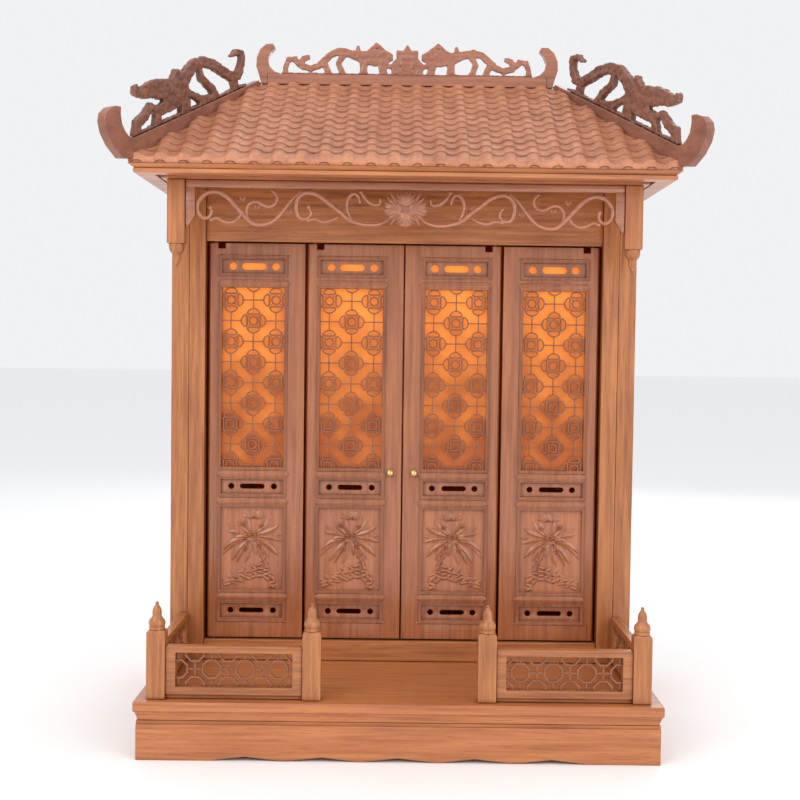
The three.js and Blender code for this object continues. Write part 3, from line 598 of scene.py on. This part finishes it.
def blade(bm, root, tip, wide, high, front, bend=0.0, count=12):
    # a carved leaf lying on the ground of the relief, widest past its middle, with a raised midrib
    made = bmesh.ops.create_uvsphere(bm, u_segments=10, v_segments=count, radius=1)["verts"]
    along = Vector((tip[0] - root[0], 0, tip[1] - root[1]))
    side = Vector((-along.z, 0, along.x)).normalized()
    for vert in made:
        at = (vert.co.z + 1) / 2
        girth = math.sqrt(max(1 - vert.co.z**2, 0.0001))
        lateral, depth = vert.co.x / girth, vert.co.y / girth
        spreadWidth = math.sin(math.pi * at**1.15) ** 0.8 * wide / 2 + 0.12
        rise = high * (0.35 + 0.65 * math.sin(math.pi * min(at * 0.9 + 0.08, 1)))
        crest = rise * (1 - 0.55 * abs(lateral) ** 0.6)
        middle = Vector((root[0], 0, root[1])) + along * at
        vert.co = middle + side * (lateral * spreadWidth + bend * math.sin(math.pi * at))
        vert.co.y = front - crest if depth < 0.05 else front + 0.6
    return made


def pebble(bm, middle, radii, front, turn=0.0, detail=2):
    made = bmesh.ops.create_icosphere(bm, subdivisions=detail, radius=1)["verts"]
    bmesh.ops.scale(bm, vec=(radii[0], radii[1], radii[2]), verts=made)
    bmesh.ops.rotate(bm, matrix=Matrix.Rotation(turn, 3, "Y"), verts=made)
    bmesh.ops.translate(bm, vec=(middle[0], front, middle[1]), verts=made)
    return made


lotusPlan = dict(
    crown=(59.0, 132.0),
    leaves=[
        # tip across, tip up, width, bend
        (27.0, 147.8, 8.0, 1.5), (26.5, 138.6, 7.0, -1.0), (21.8, 114.5, 8.0, -4.5), (20.6, 106.8, 6.0, -5.0),
        (32.0, 100.0, 8.0, -2.0), (39.0, 97.5, 5.0, -1.5), (49.5, 97.0, 7.5, 1.0), (39.5, 152.0, 7.5, 1.5),
        (52.0, 157.5, 6.5, 0.5), (73.8, 158.0, 7.5, -2.0), (81.5, 155.0, 8.0, -2.5), (93.5, 146.5, 8.5, -2.0),
        (97.4, 133.8, 8.0, 1.5), (96.8, 126.0, 7.0, 2.5), (92.5, 107.5, 8.5, 3.5), (82.0, 103.0, 7.0, 2.0),
        (64.5, 108.0, 7.0, 1.0), (34.5, 128.0, 6.5, -2.0), (85.5, 118.5, 6.5, 2.0),
    ],
    blossoms=[
        (47.0, 147.5, 5.5), (71.0, 146.0, 5.0), (49.5, 117.5, 6.0), (67.5, 120.5, 5.5), (59.0, 134.5, 6.5),
    ],
    head=(61.5, 160.5),
    stem=[(66.0, 118.0), (71.5, 107.0), (76.0, 99.0), (78.5, 91.0)],
)


def carveLotus(bm, foot, front):
    crown = lotusPlan["crown"]
    for order, (aside, up, width, bend) in enumerate(lotusPlan["leaves"]):
        reach = Vector((aside - crown[0], up - crown[1]))
        root = (crown[0] + reach.x * 0.16, foot + crown[1] + reach.y * 0.16)
        blade(bm, root, (aside, foot + up), width, 1.7 + 0.5 * (order % 3), front, bend)
    # the open flower on top: two fans of petals and a seed head
    head = (lotusPlan["head"][0], foot + lotusPlan["head"][1])
    for row, (count, reach, wide) in enumerate(((7, 15.5, 7.0), (6, 11.5, 6.0), (5, 8.0, 5.0))):
        for i in range(count):
            angle = math.radians(8 + 164 * i / (count - 1))
            tip = (head[0] + reach * math.cos(angle), head[1] - 2.5 + reach * 0.55 * math.sin(angle))
            blade(bm, (head[0], head[1] - 4.5), tip, wide, 1.7 + 0.45 * row, front, 0, 8)
    for x, z, radius in lotusPlan["blossoms"]:
        for i in range(7):
            angle = 2 * math.pi * i / 7 + x
            tip = (x + radius * math.cos(angle), foot + z + radius * 0.85 * math.sin(angle))
            blade(bm, (x, foot + z), tip, 3.6, 2.7, front, 0, 7)
        pebble(bm, (x, foot + z), (1.5, 3.0, 1.5), front, 0, 1)
    stem = [Vector((x, front - 0.4, foot + z)) for x, z in lotusPlan["stem"]]
    pour(bm, tube(stem, [3.2, 2.8, 3.0, 4.0], 8))
    for i in range(6):
        side = -1 if i % 2 else 1
        x, z = 70.5 + 1.5 * i, foot + 108.5 - 3.4 * i
        blade(bm, (x, z), (x + side * 4.5, z + 2.5), 2.4, 2.0, front, 0, 6)
    carveRock(bm, foot, front)


def carveRock(bm, foot, front):
    # a rising bank of stone with bark-like folds along its upper edge
    bank = [(26, 75), (34, 79.5), (43, 84), (52, 89.5), (61, 92), (70, 95), (78, 93), (85, 84), (86, 78)]
    for i, (x, z) in enumerate(bank):
        for layer in range(4):
            drop = layer * (2.2 + 0.55 * i)
            size = 4.4 + seed.uniform(-0.6, 1.2)
            middle = (x + seed.uniform(-1.2, 1.2), max(foot + z - drop, foot + 67))
            turn = seed.uniform(-0.5, 0.9)
            pebble(bm, middle, (size * 1.35, 1.3 + seed.uniform(0, 1.1), size * 0.55), front, turn, 2)


def roundHinge(bm, mid, pivot):
    # the hinge edge follows an arc about the pivot, so that the leaf clears its neighbour
    for y in (mid - 4.5, mid - 1.5, mid + 1.5, mid + 4.5):
        geom = bm.verts[:] + bm.edges[:] + bm.faces[:]
        bmesh.ops.bisect_plane(bm, geom=geom, plane_co=(0, y, 0), plane_no=(0, 1, 0), dist=0.001)
    for vert in bm.verts:
        if vert.co.x < 0.9:
            off = min(abs(vert.co.y - mid), pivot - 0.1)
            vert.co.x += pivot - math.sqrt(pivot**2 - off**2)


def slotLine(z, height):
    x0, x1 = leafPlan["field"]
    shift = (x0 + x1) / 2 - 58.3
    radius = height / 2 + 0.6
    return [
        ring(31.3 + shift, z, radius, 20),
        stadium(42.5 + shift, 74.5 + shift, z, height),
        ring(86.8 + shift, z, radius, 20),
    ]


def makeLeafBody():
    low, high = corners("leaf_1")
    plan = leafPlan
    front, back = low.y + plan["proud"], high.y
    foot, head = low.z + plan["pin"], high.z - plan["pin"]
    wide = high.x - low.x
    ground = front + plan["skin"]
    x0, x1 = plan["field"]
    n0, n1, deep = plan["notch"]
    bm = bmesh.new()
    hingeStile = [(0, foot), (x0, foot), (x0, head - deep), (n0, head - deep), (n0, head), (0, head)]
    fields = sorted(plan["slotFields"] + [plan["relief"], plan["window"]])
    topRail = foot + fields[-1][1]
    topLine = [(x0, topRail), (x1, topRail), (x1, head), (n1, head), (n1, head - deep), (x0, head - deep)]
    standPlate(bm, [hingeStile], front, back, 0.3)
    standPlate(bm, [rectangle(x1, foot, wide, head)], front, back, 0.3)
    standPlate(bm, [topLine], front, back, 0.3)
    ends = [0] + [top for _, top in fields[:-1]]
    for start, (stop, _) in zip(ends, fields):
        standPlate(bm, [rectangle(x0, foot + start, x1, foot + stop)], front, back, 0.3)
    roundHinge(bm, (front + back) / 2, plan["pivot"])
    for order, (bottom, top) in enumerate(plan["slotFields"]):
        panel = rectangle(x0 - 0.4, foot + bottom - 0.4, x1 + 0.4, foot + top + 0.4)
        holes = slotLine(foot + (bottom + top) / 2, 9.0 if order == 2 else 6.6)
        standPlate(bm, [panel, *holes], ground, ground + 6, 0.4)
    relief = plan["relief"]
    box(bm, (x0 - 0.4, ground, foot + relief[0] - 0.4), (x1 + 0.4, ground + 6, foot + relief[1] + 0.4), 0)
    for bottom, top in plan["slotFields"] + [plan["relief"], plan["window"]]:
        fieldFrame(bm, x0, foot + bottom, x1, foot + top, front)
    for z, tall in plan["bars"]:
        pointedBar(bm, foot + z, tall, front, plan["proud"])
    for z, tall in plan["thinBars"]:
        pointedBar(bm, foot + z, tall, front, 1.4)
    carveLotus(bm, foot, ground)
    for z0, z1 in ((low.z, foot + 2), (head - 2, high.z)):
        pin = [(0, 0), (2.5, 0), (2.5, z1 - z0), (0, z1 - z0)]
        turned(bm, pin, (plan["pivot"], (front + back) / 2, z0), 20)
    return bm


rosettePlan = dict(
    pitch=(29.0, 26.8),
    top=466.6,
    rows=10,
    bar=2.0,
    ring=6.3,
    lobe=(8.7, 4.7),
    lobeOut=12.0,
    deep=(1.6, 6.4),  # from the front of the leaf
    link=1.7,
    linkDeep=1.7,
    reach=16.0,  # how far a rosette comes towards its neighbour
)


def makeRosette():
    # four bean-shaped rings round a small one
    plan = rosettePlan
    bm = bmesh.new()
    bar, (wide, tall) = plan["bar"], plan["lobe"]
    lobes = []
    for lessen in (0, bar):
        line = []
        for x, z in ring(0, 0, 1, 28):
            lateral, out = x * (wide - lessen), z * (tall - lessen)
            lift = plan["lobeOut"] + out - 0.026 * lateral**2
            line.append((lateral, lift))
        lobes.append(line)
    depth = plan["deep"][1] - plan["deep"][0]
    mesh = plate(lobes, depth, 0.5, 2)
    for quarter in range(4):
        turn = Matrix.Rotation(quarter * math.pi / 2, 4, "Y")
        pour(bm, mesh.copy(), turn @ facing)
    bpy.data.meshes.remove(mesh)
    middle = plate([ring(0, 0, plan["ring"], 24), ring(0, 0, plan["ring"] - bar, 24)], depth, 0.5, 2)
    pour(bm, middle, facing)
    for quarter in range(4):
        turn = Matrix.Rotation((quarter + 0.5) * math.pi / 2, 4, "Y")
        spoke = plate([rectangle(-0.55, plan["ring"] - 0.6, 0.55, 9.6)], depth * 0.7, 0.3, 1)
        pour(bm, spoke, turn @ facing)
    return bm


def makeLeafLattice():
    low = corners("leaf_1")[0]
    front = low.y + leafPlan["proud"]
    foot = low.z + leafPlan["pin"]
    plan = rosettePlan
    x0, x1 = leafPlan["field"]
    z0, z1 = (foot + z for z in leafPlan["window"])
    mid = (x0 + x1) / 2
    depth = front + sum(plan["deep"]) / 2
    rosette = makeRosette()
    mesh = bpy.data.meshes.new("rosette")
    rosette.to_mesh(mesh)
    rosette.free()
    bm = bmesh.new()
    link = plan["link"] / 2
    for row in range(plan["rows"]):
        z = foot + plan["top"] - row * plan["pitch"][1]
        for column in (-1, 0, 1):
            x = mid + column * plan["pitch"][0]
            if (row + column) % 2 == 0:
                pour(bm, mesh.copy(), Matrix.Translation((x, depth, z)))
                continue
            armX, armZ = (space - plan["reach"] for space in plan["pitch"])
            fore, aft = depth - plan["linkDeep"], depth + plan["linkDeep"]
            standPlate(bm, [rectangle(x - armX, z - link, x + armX, z + link)], fore, aft, 0.4, 2)
            standPlate(bm, [rectangle(x - link, z - armZ, x + link, z + armZ)], fore, aft, 0.4, 2)
    bpy.data.meshes.remove(mesh)
    cuts = [((x0 - 0.4, 0, 0), (-1, 0, 0)), ((x1 + 0.4, 0, 0), (1, 0, 0))]
    cuts += [((0, 0, z0 - 0.4), (0, 0, -1)), ((0, 0, z1 + 0.4), (0, 0, 1))]
    trim(bm, cuts)
    return bm


def trim(bm, cuts):
    # cuts the shape off at each plane and closes what was cut
    for place, away in cuts:
        geom = bm.verts[:] + bm.edges[:] + bm.faces[:]
        made = bmesh.ops.bisect_plane(
            bm, geom=geom, plane_co=place, plane_no=away, clear_outer=True, dist=0.0005
        )["geom_cut"]
        rim = [item for item in made if isinstance(item, bmesh.types.BMEdge) and item.is_boundary]
        bmesh.ops.holes_fill(bm, edges=rim, sides=0)


def hangLeaves():
    leafShape, latticeShape = makeLeafBody(), makeLeafLattice()
    for number in (1, 2, 3, 4):
        low, high = corners(f"leaf_{number}")
        for shape, name, finish, slotName in (
            (leafShape, f"door_leaf_{number}", "leafWood", "door_wood"),
            (latticeShape, f"door_lattice_{number}", "latticeWood", "lattice_wood"),
        ):
            bm = shape.copy()
            if number <= 2:
                bmesh.ops.translate(bm, vec=(low.x, 0, 0), verts=bm.verts)
            else:
                bmesh.ops.scale(bm, vec=(-1, 1, 1), verts=bm.verts)
                bmesh.ops.translate(bm, vec=(high.x, 0, 0), verts=bm.verts)
                bmesh.ops.reverse_faces(bm, faces=bm.faces)
            node = f"leaf_{number}" if slotName == "door_wood" else f"leaf_lattice_{number}"
            wrapPiece(name, bm, finish, f"door_{number}", slotName, node)
    leafShape.free()
    latticeShape.free()
    print("leaves hung")


hangLeaves()


# the tiled roof

tilePlan = dict(
    pitch=27.6,
    course=19.7,
    rise=3.6,
    hollow=1.3,
    lip=1.7,
    share=0.25,  # half the width of a cover tile against the pitch
    thick=6.0,
    ridgeHalf=199.0,
    sideHalf=80.0,  # spare length of a side slope before the hips cut it
    band=9.0,
    ridgeTop=826.5,
    eaveTop=696.8,
    rows=(0.0, 0.3, 0.65, 0.97),
    columns=12,
)


def tileLift(aside, down):
    # how high the tiles stand: round cover tiles between hollow pans, each course lifting at its lip
    off = (aside / tilePlan["pitch"]) % 1 - 0.5
    share = tilePlan["share"]
    if abs(off) < share:
        lift = tilePlan["rise"] * math.sqrt(1 - (off / share) ** 2 * 0.97)
    else:
        lift = -tilePlan["hollow"] * math.sin(math.pi * (abs(off) - share) / (1 - 2 * share))
    return lift + tilePlan["lip"] * ((down / tilePlan["course"]) % 1)


def tileSlope(top, run, drop, halfWidth, turn):
    # one slope, made facing the front and then turned to its side of the roof
    length = math.hypot(run, drop)
    fall = Vector((0, -run / length, -drop / length))
    out = Vector((0, -drop / length, run / length))
    places = []
    for course in range(math.ceil(length / tilePlan["course"])):
        places += [(course + row) * tilePlan["course"] for row in tilePlan["rows"]]
    places = [place for place in places if place < length] + [length]
    columns = round(2 * halfWidth / tilePlan["pitch"] * tilePlan["columns"])
    bm = bmesh.new()
    bmesh.ops.create_grid(bm, x_segments=columns, y_segments=len(places) - 1, size=0.5)
    steps = len(places) - 1
    for vert in bm.verts:
        x = vert.co.x * 2 * halfWidth
        down = places[steps - round((vert.co.y + 0.5) * steps)]
        lift = tileLift(x, down)
        vert.co = Vector((x, -top[0], top[1])) + fall * down + out * lift
    bmesh.ops.rotate(bm, matrix=Matrix.Rotation(turn, 3, "Z"), verts=bm.verts)
    return bm


def tileRoof():
    low, high = corners("roof_shell")
    ridgeLow, ridgeHigh = corners("ridge_beam")
    half, peak = tilePlan["ridgeHalf"], tilePlan["ridgeTop"]
    drop = peak - tilePlan["eaveTop"]
    front, back = ridgeLow.y - low.y, high.y - ridgeHigh.y
    side = high.x - half
    whole = bmesh.new()
    slopes = [
        ("front", (-ridgeLow.y, peak), front, high.x, 0),
        ("back", (ridgeHigh.y, peak), back, high.x, math.pi),
        ("right", (half, peak), side, tilePlan["sideHalf"] - low.y, math.pi / 2),
        ("left", (half, peak), side, tilePlan["sideHalf"] - low.y, -math.pi / 2),
    ]
    for where, top, run, wide, turn in slopes:
        bm = tileSlope(top, run, drop, wide, turn)
        cuts = []
        for sign in (-1, 1):
            hipFront = Vector((sign * front, side, 0))
            hipBack = Vector((sign * back, -side, 0))
            if where == "front":
                cuts.append(((sign * half, ridgeLow.y, 0), hipFront))
            if where == "back":
                cuts.append(((sign * half, ridgeHigh.y, 0), hipBack))
            if where == ("right" if sign > 0 else "left"):
                cuts.append(((sign * half, ridgeLow.y, 0), -hipFront))
                cuts.append(((sign * half, ridgeHigh.y, 0), -hipBack))
        for place, away in cuts:
            geom = bm.verts[:] + bm.edges[:] + bm.faces[:]
            bmesh.ops.bisect_plane(bm, geom=geom, plane_co=place, plane_no=away, clear_outer=True, dist=0.01)
        shell = bmesh.ops.extrude_face_region(bm, geom=bm.faces[:], use_keep_orig=True)["geom"]
        under = [item for item in shell if isinstance(item, bmesh.types.BMVert)]
        bmesh.ops.translate(bm, vec=(0, 0, -tilePlan["thick"]), verts=under)
        bmesh.ops.recalc_face_normals(bm, faces=bm.faces)
        mesh = bpy.data.meshes.new(where)
        bm.to_mesh(mesh)
        bm.free()
        pour(whole, mesh)
    # the band under the tile ends, with a pair of small leaves below each cover tile
    band = tilePlan["band"]
    for x0, y0, x1, y1 in (
        (low.x, low.y, high.x, low.y + band),
        (low.x, high.y - band, high.x, high.y),
        (low.x, low.y + band, low.x + band, high.y - band),
        (high.x - band, low.y + band, high.x, high.y - band),
    ):
        box(whole, (x0, y0, low.z), (x1, y1, tilePlan["eaveTop"] + 0.6), 0.8)
    pitch = tilePlan["pitch"]
    for column in range(-12, 12):
        x = (column + 0.5) * pitch
        for way in (-1, 1):
            for up in (0, 1):
                root = (x + way * 0.6, low.z + 3.4)
                tip = (x + way * 6.5, low.z + (0.8 if up == 0 else 6.2))
                blade(whole, root, tip, 2.2, 1.0, low.y + 0.2, 0, 6)
    wrapPiece("roof_tiles", whole, "tileWood", "cabinet", "roof_wood", "roof_shell", sharp=50)
    print("roof tiled")


tileRoof()


# openwork carvings: the crest of the ridge and the dragons on the hips

carving = dict(
    crest=dict(grain=0.0009, smooth=5, chip=0.0012, size=0.0065),
    dragon=dict(grain=0.0011, smooth=6, chip=0.0018, size=0.0085),
)


def carveNode(node, name, finish, plan):
    # the sawn blank is rounded over and then cut with gouge marks
    bm = bmesh.new()
    bm.from_mesh(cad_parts[node].data)
    bmesh.ops.remove_doubles(bm, verts=bm.verts, dist=0.00002)
    mesh = bpy.data.meshes.new(name)
    bm.to_mesh(mesh)
    bm.free()
    mesh.materials.append(finishes[finish])
    piece = bpy.data.objects.new(name, mesh)
    bpy.context.scene.collection.objects.link(piece)
    blank = piece.modifiers.new("blank", "REMESH")
    blank.mode = "VOXEL"
    blank.voxel_size = plan["grain"]
    blank.use_smooth_shade = True
    over = piece.modifiers.new("roundOver", "SMOOTH")
    over.factor = 0.6
    over.iterations = plan["smooth"]
    for order, (kind, share) in enumerate((("VORONOI", 1.0), ("CLOUDS", 0.8))):
        pattern = bpy.data.textures.new(f"{name}{kind}", kind)
        pattern.noise_scale = plan["size"] * (1 if order == 0 else 0.6)
        gouge = piece.modifiers.new(f"gouge{order}", "DISPLACE")
        gouge.texture = pattern
        gouge.texture_coords = "LOCAL"
        gouge.strength = -plan["chip"] * share
        gouge.mid_level = 0.45
    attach(piece, "cabinet")
    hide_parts(node)


carveNode("ridge_crest", "crest_dragons", "crestWood", carving["crest"])
for side in sides:
    carveNode(f"hip_dragon_{side}", f"dragon_{side}", "dragonWood", carving["dragon"])
print("carvings cut")


# the porch: vines between the hanging posts

vinePlan = dict(
    bracket=(258, 269.5),
    thick=6.2,
    runs=[
        # distance out from the middle and height above the lowest point of the frame
        [(239, 28), (238, 21), (243, 15), (249, 16), (254, 22), (255, 30), (251, 39), (242, 46), (231, 47),
         (220, 42), (208, 30), (195, 16), (184, 8), (173, 8), (161, 13), (149, 26), (139, 39), (129, 48)],
        [(238, 13), (231, 15), (222, 11), (214, 10), (206, 14), (201, 21)],
        [(193, 14), (195, 23), (193, 31), (187, 35), (181, 35), (173, 31), (166, 30), (159, 35), (158, 43),
         (164, 49)],
        [(119, 30), (116, 22), (121, 16), (128, 16), (133, 23), (134, 33), (131, 42), (123, 47), (115, 47),
         (105, 43), (93, 34), (80, 24), (69, 15), (58, 11), (46, 9), (33, 10), (21, 15)],
        [(119, 14), (109, 15), (101, 12), (91, 14), (83, 18)],
        [(67, 16), (71, 25), (72, 35), (69, 43), (63, 47), (58, 43), (56, 35)],
        [(55, 49), (51, 43), (45, 37), (39, 34), (32, 35), (31, 41)],
    ],
    buds=[(200, 38), (198, 22), (143, 23), (77, 29), (182, 28)],
)


def carveSpandrel():
    low, high = corners("spandrel")
    depth = low.y + 5.5
    bm = bmesh.new()
    box(bm, (low.x, low.y + 1.5, high.z - 9.4), (high.x, high.y, high.z), 1.6, 3)
    for sign in (-1, 1):
        place = Matrix.Diagonal((sign, 1, 1, 1))
        for order, run in enumerate(vinePlan["runs"]):
            line = [Vector((-x, depth, low.z + z)) for x, z in run]
            width = vinePlan["thick"] * (1 if order in (0, 3) else 0.8)
            swell = [math.sin(math.pi * (i + 0.6) / len(line)) for i in range(len(line))]
            widths = [width * (0.55 + 0.45 * full) for full in swell]
            pour(bm, tube(line, widths, 10), place)
            tips = bmesh.new()
            pebble(tips, (line[0].x, line[0].z), (2.6, 2.2, 2.6), depth)
            mesh = bpy.data.meshes.new("tips")
            tips.to_mesh(mesh)
            tips.free()
            pour(bm, mesh, place)
        for x, z in vinePlan["buds"]:
            for lean in (-3.2, 0, 3.2):
                root, tip = (sign * x, low.z + z - 3), (sign * x + lean, low.z + z + 5)
                blade(bm, root, tip, 3.4, 2.4, depth + 0.5, 0, 7)
        inner, outer = sign * vinePlan["bracket"][0], sign * vinePlan["bracket"][1]
        bracket = [(inner, low.z + 18), (sign * 268, low.z + 2), (outer, low.z + 8)]
        bracket += [(outer, high.z - 9), (inner, high.z - 9)]
        standPlate(bm, [bracket], low.y + 2, high.y, 0.8)
    middle = low.z + 29
    for quarter in range(4):
        angle = math.pi / 2 * quarter
        reach = 27 if quarter % 2 == 0 else 22
        centre = (reach * 0.5 * math.cos(angle), middle + reach * 0.5 * math.sin(angle))
        pebble(bm, centre, (reach * 0.52, 5.2, 11.5), depth, -angle, 3)
        for i in range(7):
            fan = angle + math.radians(-48 + 16 * i)
            tip = (reach * math.cos(fan) * 1.02, middle + reach * math.sin(fan) * 1.02)
            root = (centre[0] * 0.5, middle + (centre[1] - middle) * 0.5)
            blade(bm, root, tip, 4.2, 3.0, low.y + 3.4, 0, 8)
    for x in range(-2, 3):
        for z in range(-2, 3):
            pebble(bm, (x * 2.4, middle + z * 2.4), (1.2, 2.2, 1.2), low.y + 2.6, 0, 1)
    pebble(bm, (0, middle), (7.4, 3.2, 7.4), low.y + 4.4, 0, 3)
    wrapPiece("vine_spandrel", bm, "vineWood", "cabinet", "door_wood", "spandrel", sharp=50)
    print("vines carved")


carveSpandrel()


# pierced panels of the terrace rail

railPlan = dict(pitch=38.6, first=2.4, ring=12.4, bar=2.4, link=2.0, arm=8.6)


def railPanel(length, height, thick, first):
    plan = railPlan
    bm = bmesh.new()
    depth = thick * 0.78
    octagon = [ring(0, 0, plan["ring"] - cutBack, 8) for cutBack in (0, plan["bar"])]
    turn = Matrix.Rotation(math.pi / 8, 4, "Y")
    mesh = plate(octagon, depth, 0.45, 2)
    half, link = plan["pitch"] / 2, plan["link"] / 2
    for step in range(-1, math.ceil((length - first) / half) + 1):
        x = first + step * half
        heights = (height / 2,) if step % 2 == 0 else (0, height)
        for z in heights:
            pour(bm, mesh.copy(), Matrix.Translation((x, thick / 2, z)) @ turn @ facing)
        if step % 2 == 0:
            arms = [(0, height / 2 - plan["ring"] + 1), (height / 2 + plan["ring"] - 1, height)]
        else:
            arms = [(plan["ring"] - 1, height - plan["ring"] + 1)]
            tie = rectangle(x - plan["arm"], height / 2 - link, x + plan["arm"], height / 2 + link)
            standPlate(bm, [tie], thick * 0.25, thick * 0.75, 0.4)
        for z0, z1 in arms:
            standPlate(bm, [rectangle(x - link, z0, x + link, z1)], thick * 0.25, thick * 0.75, 0.4)
    bpy.data.meshes.remove(mesh)
    cuts = [((0, 0, 0), (-1, 0, 0)), ((length, 0, 0), (1, 0, 0))]
    trim(bm, cuts + [((0, 0, 0), (0, 0, -1)), ((0, 0, height), (0, 0, 1))])
    return bm


def fitRailPanels():
    for hand in sides:
        low, high = corners(f"rail_lattice_{hand}")
        size = high - low
        bm = railPanel(size.x, size.z, size.y, railPlan["first"])
        if hand == "right":
            bmesh.ops.scale(bm, vec=(-1, 1, 1), verts=bm.verts)
            bmesh.ops.reverse_faces(bm, faces=bm.faces)
        start = low.x if hand == "left" else high.x
        bmesh.ops.translate(bm, vec=(start, low.y, low.z), verts=bm.verts)
        fitPanel(bm, f"rail_panel_{hand}", f"rail_lattice_{hand}")
        low, high = corners(f"side_lattice_{hand}")
        size = high - low
        bm = railPanel(size.y, size.z, size.x, size.y / 2 % (railPlan["pitch"] / 2) + 1.2)
        bmesh.ops.rotate(bm, matrix=Matrix.Rotation(math.pi / 2, 3, "Z"), verts=bm.verts)
        bmesh.ops.translate(bm, vec=(high.x, low.y, low.z), verts=bm.verts)
        fitPanel(bm, f"side_panel_{hand}", f"side_lattice_{hand}")
    print("rail panels fitted")


def fitPanel(bm, name, node):
    wrapPiece(name, bm, "railLatticeWood", "cabinet", "lattice_wood", node)


# turned finials, pendants and knobs

# each line gives radius and height, from the bottom up
finialLine = [(0, 0), (9.1, 0), (9.1, 3.2), (8.6, 3.6), (9.5, 5.4), (9.7, 7.4), (9.0, 10.5), (5.9, 14.2)]
finialLine += [(5.2, 16), (5.5, 20), (4.6, 24), (2.2, 28), (1.7, 29), (2.2, 30.4), (1.2, 31.8), (0, 32)]
pendantLine = [(0, 0), (2.2, 3.5), (4.4, 8), (5.4, 11), (5, 14), (5.2, 15.8), (8.2, 19), (9.5, 22.5)]
pendantLine += [(9.8, 26), (9.8, 28.2), (0, 28.2)]
knobLine = [(0, 0), (4.1, 0), (4.1, 0.9), (2, 2.2), (2.1, 3.6), (3.7, 5), (4.1, 6.6), (3.4, 8.4)]
knobLine += [(1.8, 9.3), (0, 9.5)]
knobBodies = dict(left="door_2", right="door_3")


def turnPieces():
    for hand in sides:
        for name, line in (
            (f"finial_outer_{hand}", finialLine),
            (f"finial_inner_{hand}", finialLine),
            (f"pendant_{hand}", pendantLine),
        ):
            low, high = corners(name)
            bm = bmesh.new()
            turned(bm, line, ((low.x + high.x) / 2, (low.y + high.y) / 2, low.z), 36)
            wrapPiece(f"turned_{name}", bm, "postWood", "cabinet", "case_wood", name, sharp=28)
        low, high = corners(f"knob_{hand}")
        bm = bmesh.new()
        turned(bm, knobLine, (0, 0, 0), 28)
        bmesh.ops.rotate(bm, matrix=Matrix.Rotation(math.pi / 2, 3, "X"), verts=bm.verts)
        middle = ((low.x + high.x) / 2, high.y, (low.z + high.z) / 2)
        bmesh.ops.translate(bm, vec=middle, verts=bm.verts)
        wrapPiece(f"turned_knob_{hand}", bm, "brass", knobBodies[hand], "brass", f"knob_{hand}")
    print("turned pieces made")


fitRailPanels()
turnPieces()


# the solids that keep their shape

dressing = dict(soft=0.0011, steps=3)


def dressNode(name, finish, soft=None):
    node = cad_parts[name]
    node.data.materials.clear()
    node.data.materials.append(finishes[finish])
    weld = node.modifiers.new("weld", "WELD")
    weld.merge_threshold = 0.00002
    round = node.modifiers.new("softEdges", "BEVEL")
    round.width = soft or dressing["soft"]
    round.segments = dressing["steps"]
    round.limit_method = "ANGLE"
    round.angle_limit = math.radians(28)
    round.harden_normals = False
    shade = node.modifiers.new("weightedNormals", "WEIGHTED_NORMAL")
    shade.keep_sharp = True


keptNodes = {
    "base_slab": "slabWood",
    "apron_front": "apronWood",
    "apron_back": "apronWood",
    "back_board": "wallWood",
    "sill": "sillWood",
    "lintel": "sillWood",
    "eave_board": "eaveWood",
    "ridge_beam": "ridgeWood",
}
for side in sides:
    keptNodes[f"apron_{side}"] = "apronSideWood"
    keptNodes[f"rail_post_outer_{side}"] = "postWood"
    keptNodes[f"rail_post_inner_{side}"] = "postWood"
    keptNodes[f"rail_frame_{side}"] = "sillWood"
    keptNodes[f"side_rail_{side}"] = "sideWood"
    keptNodes[f"side_wall_{side}"] = "wallWood"
    keptNodes[f"jamb_{side}"] = "wallWood"
    keptNodes[f"hanging_post_{side}"] = "postWood"
    keptNodes[f"hip_beam_front_{side}"] = "hipWood"
    keptNodes[f"hip_beam_back_{side}"] = "hipWood"
for name, finish in keptNodes.items():
    dressNode(name, finish)
for number in (1, 2, 3, 4):
    dressNode(f"leaf_pane_{number}", "amber", 0.0004)
print("solids dressed")
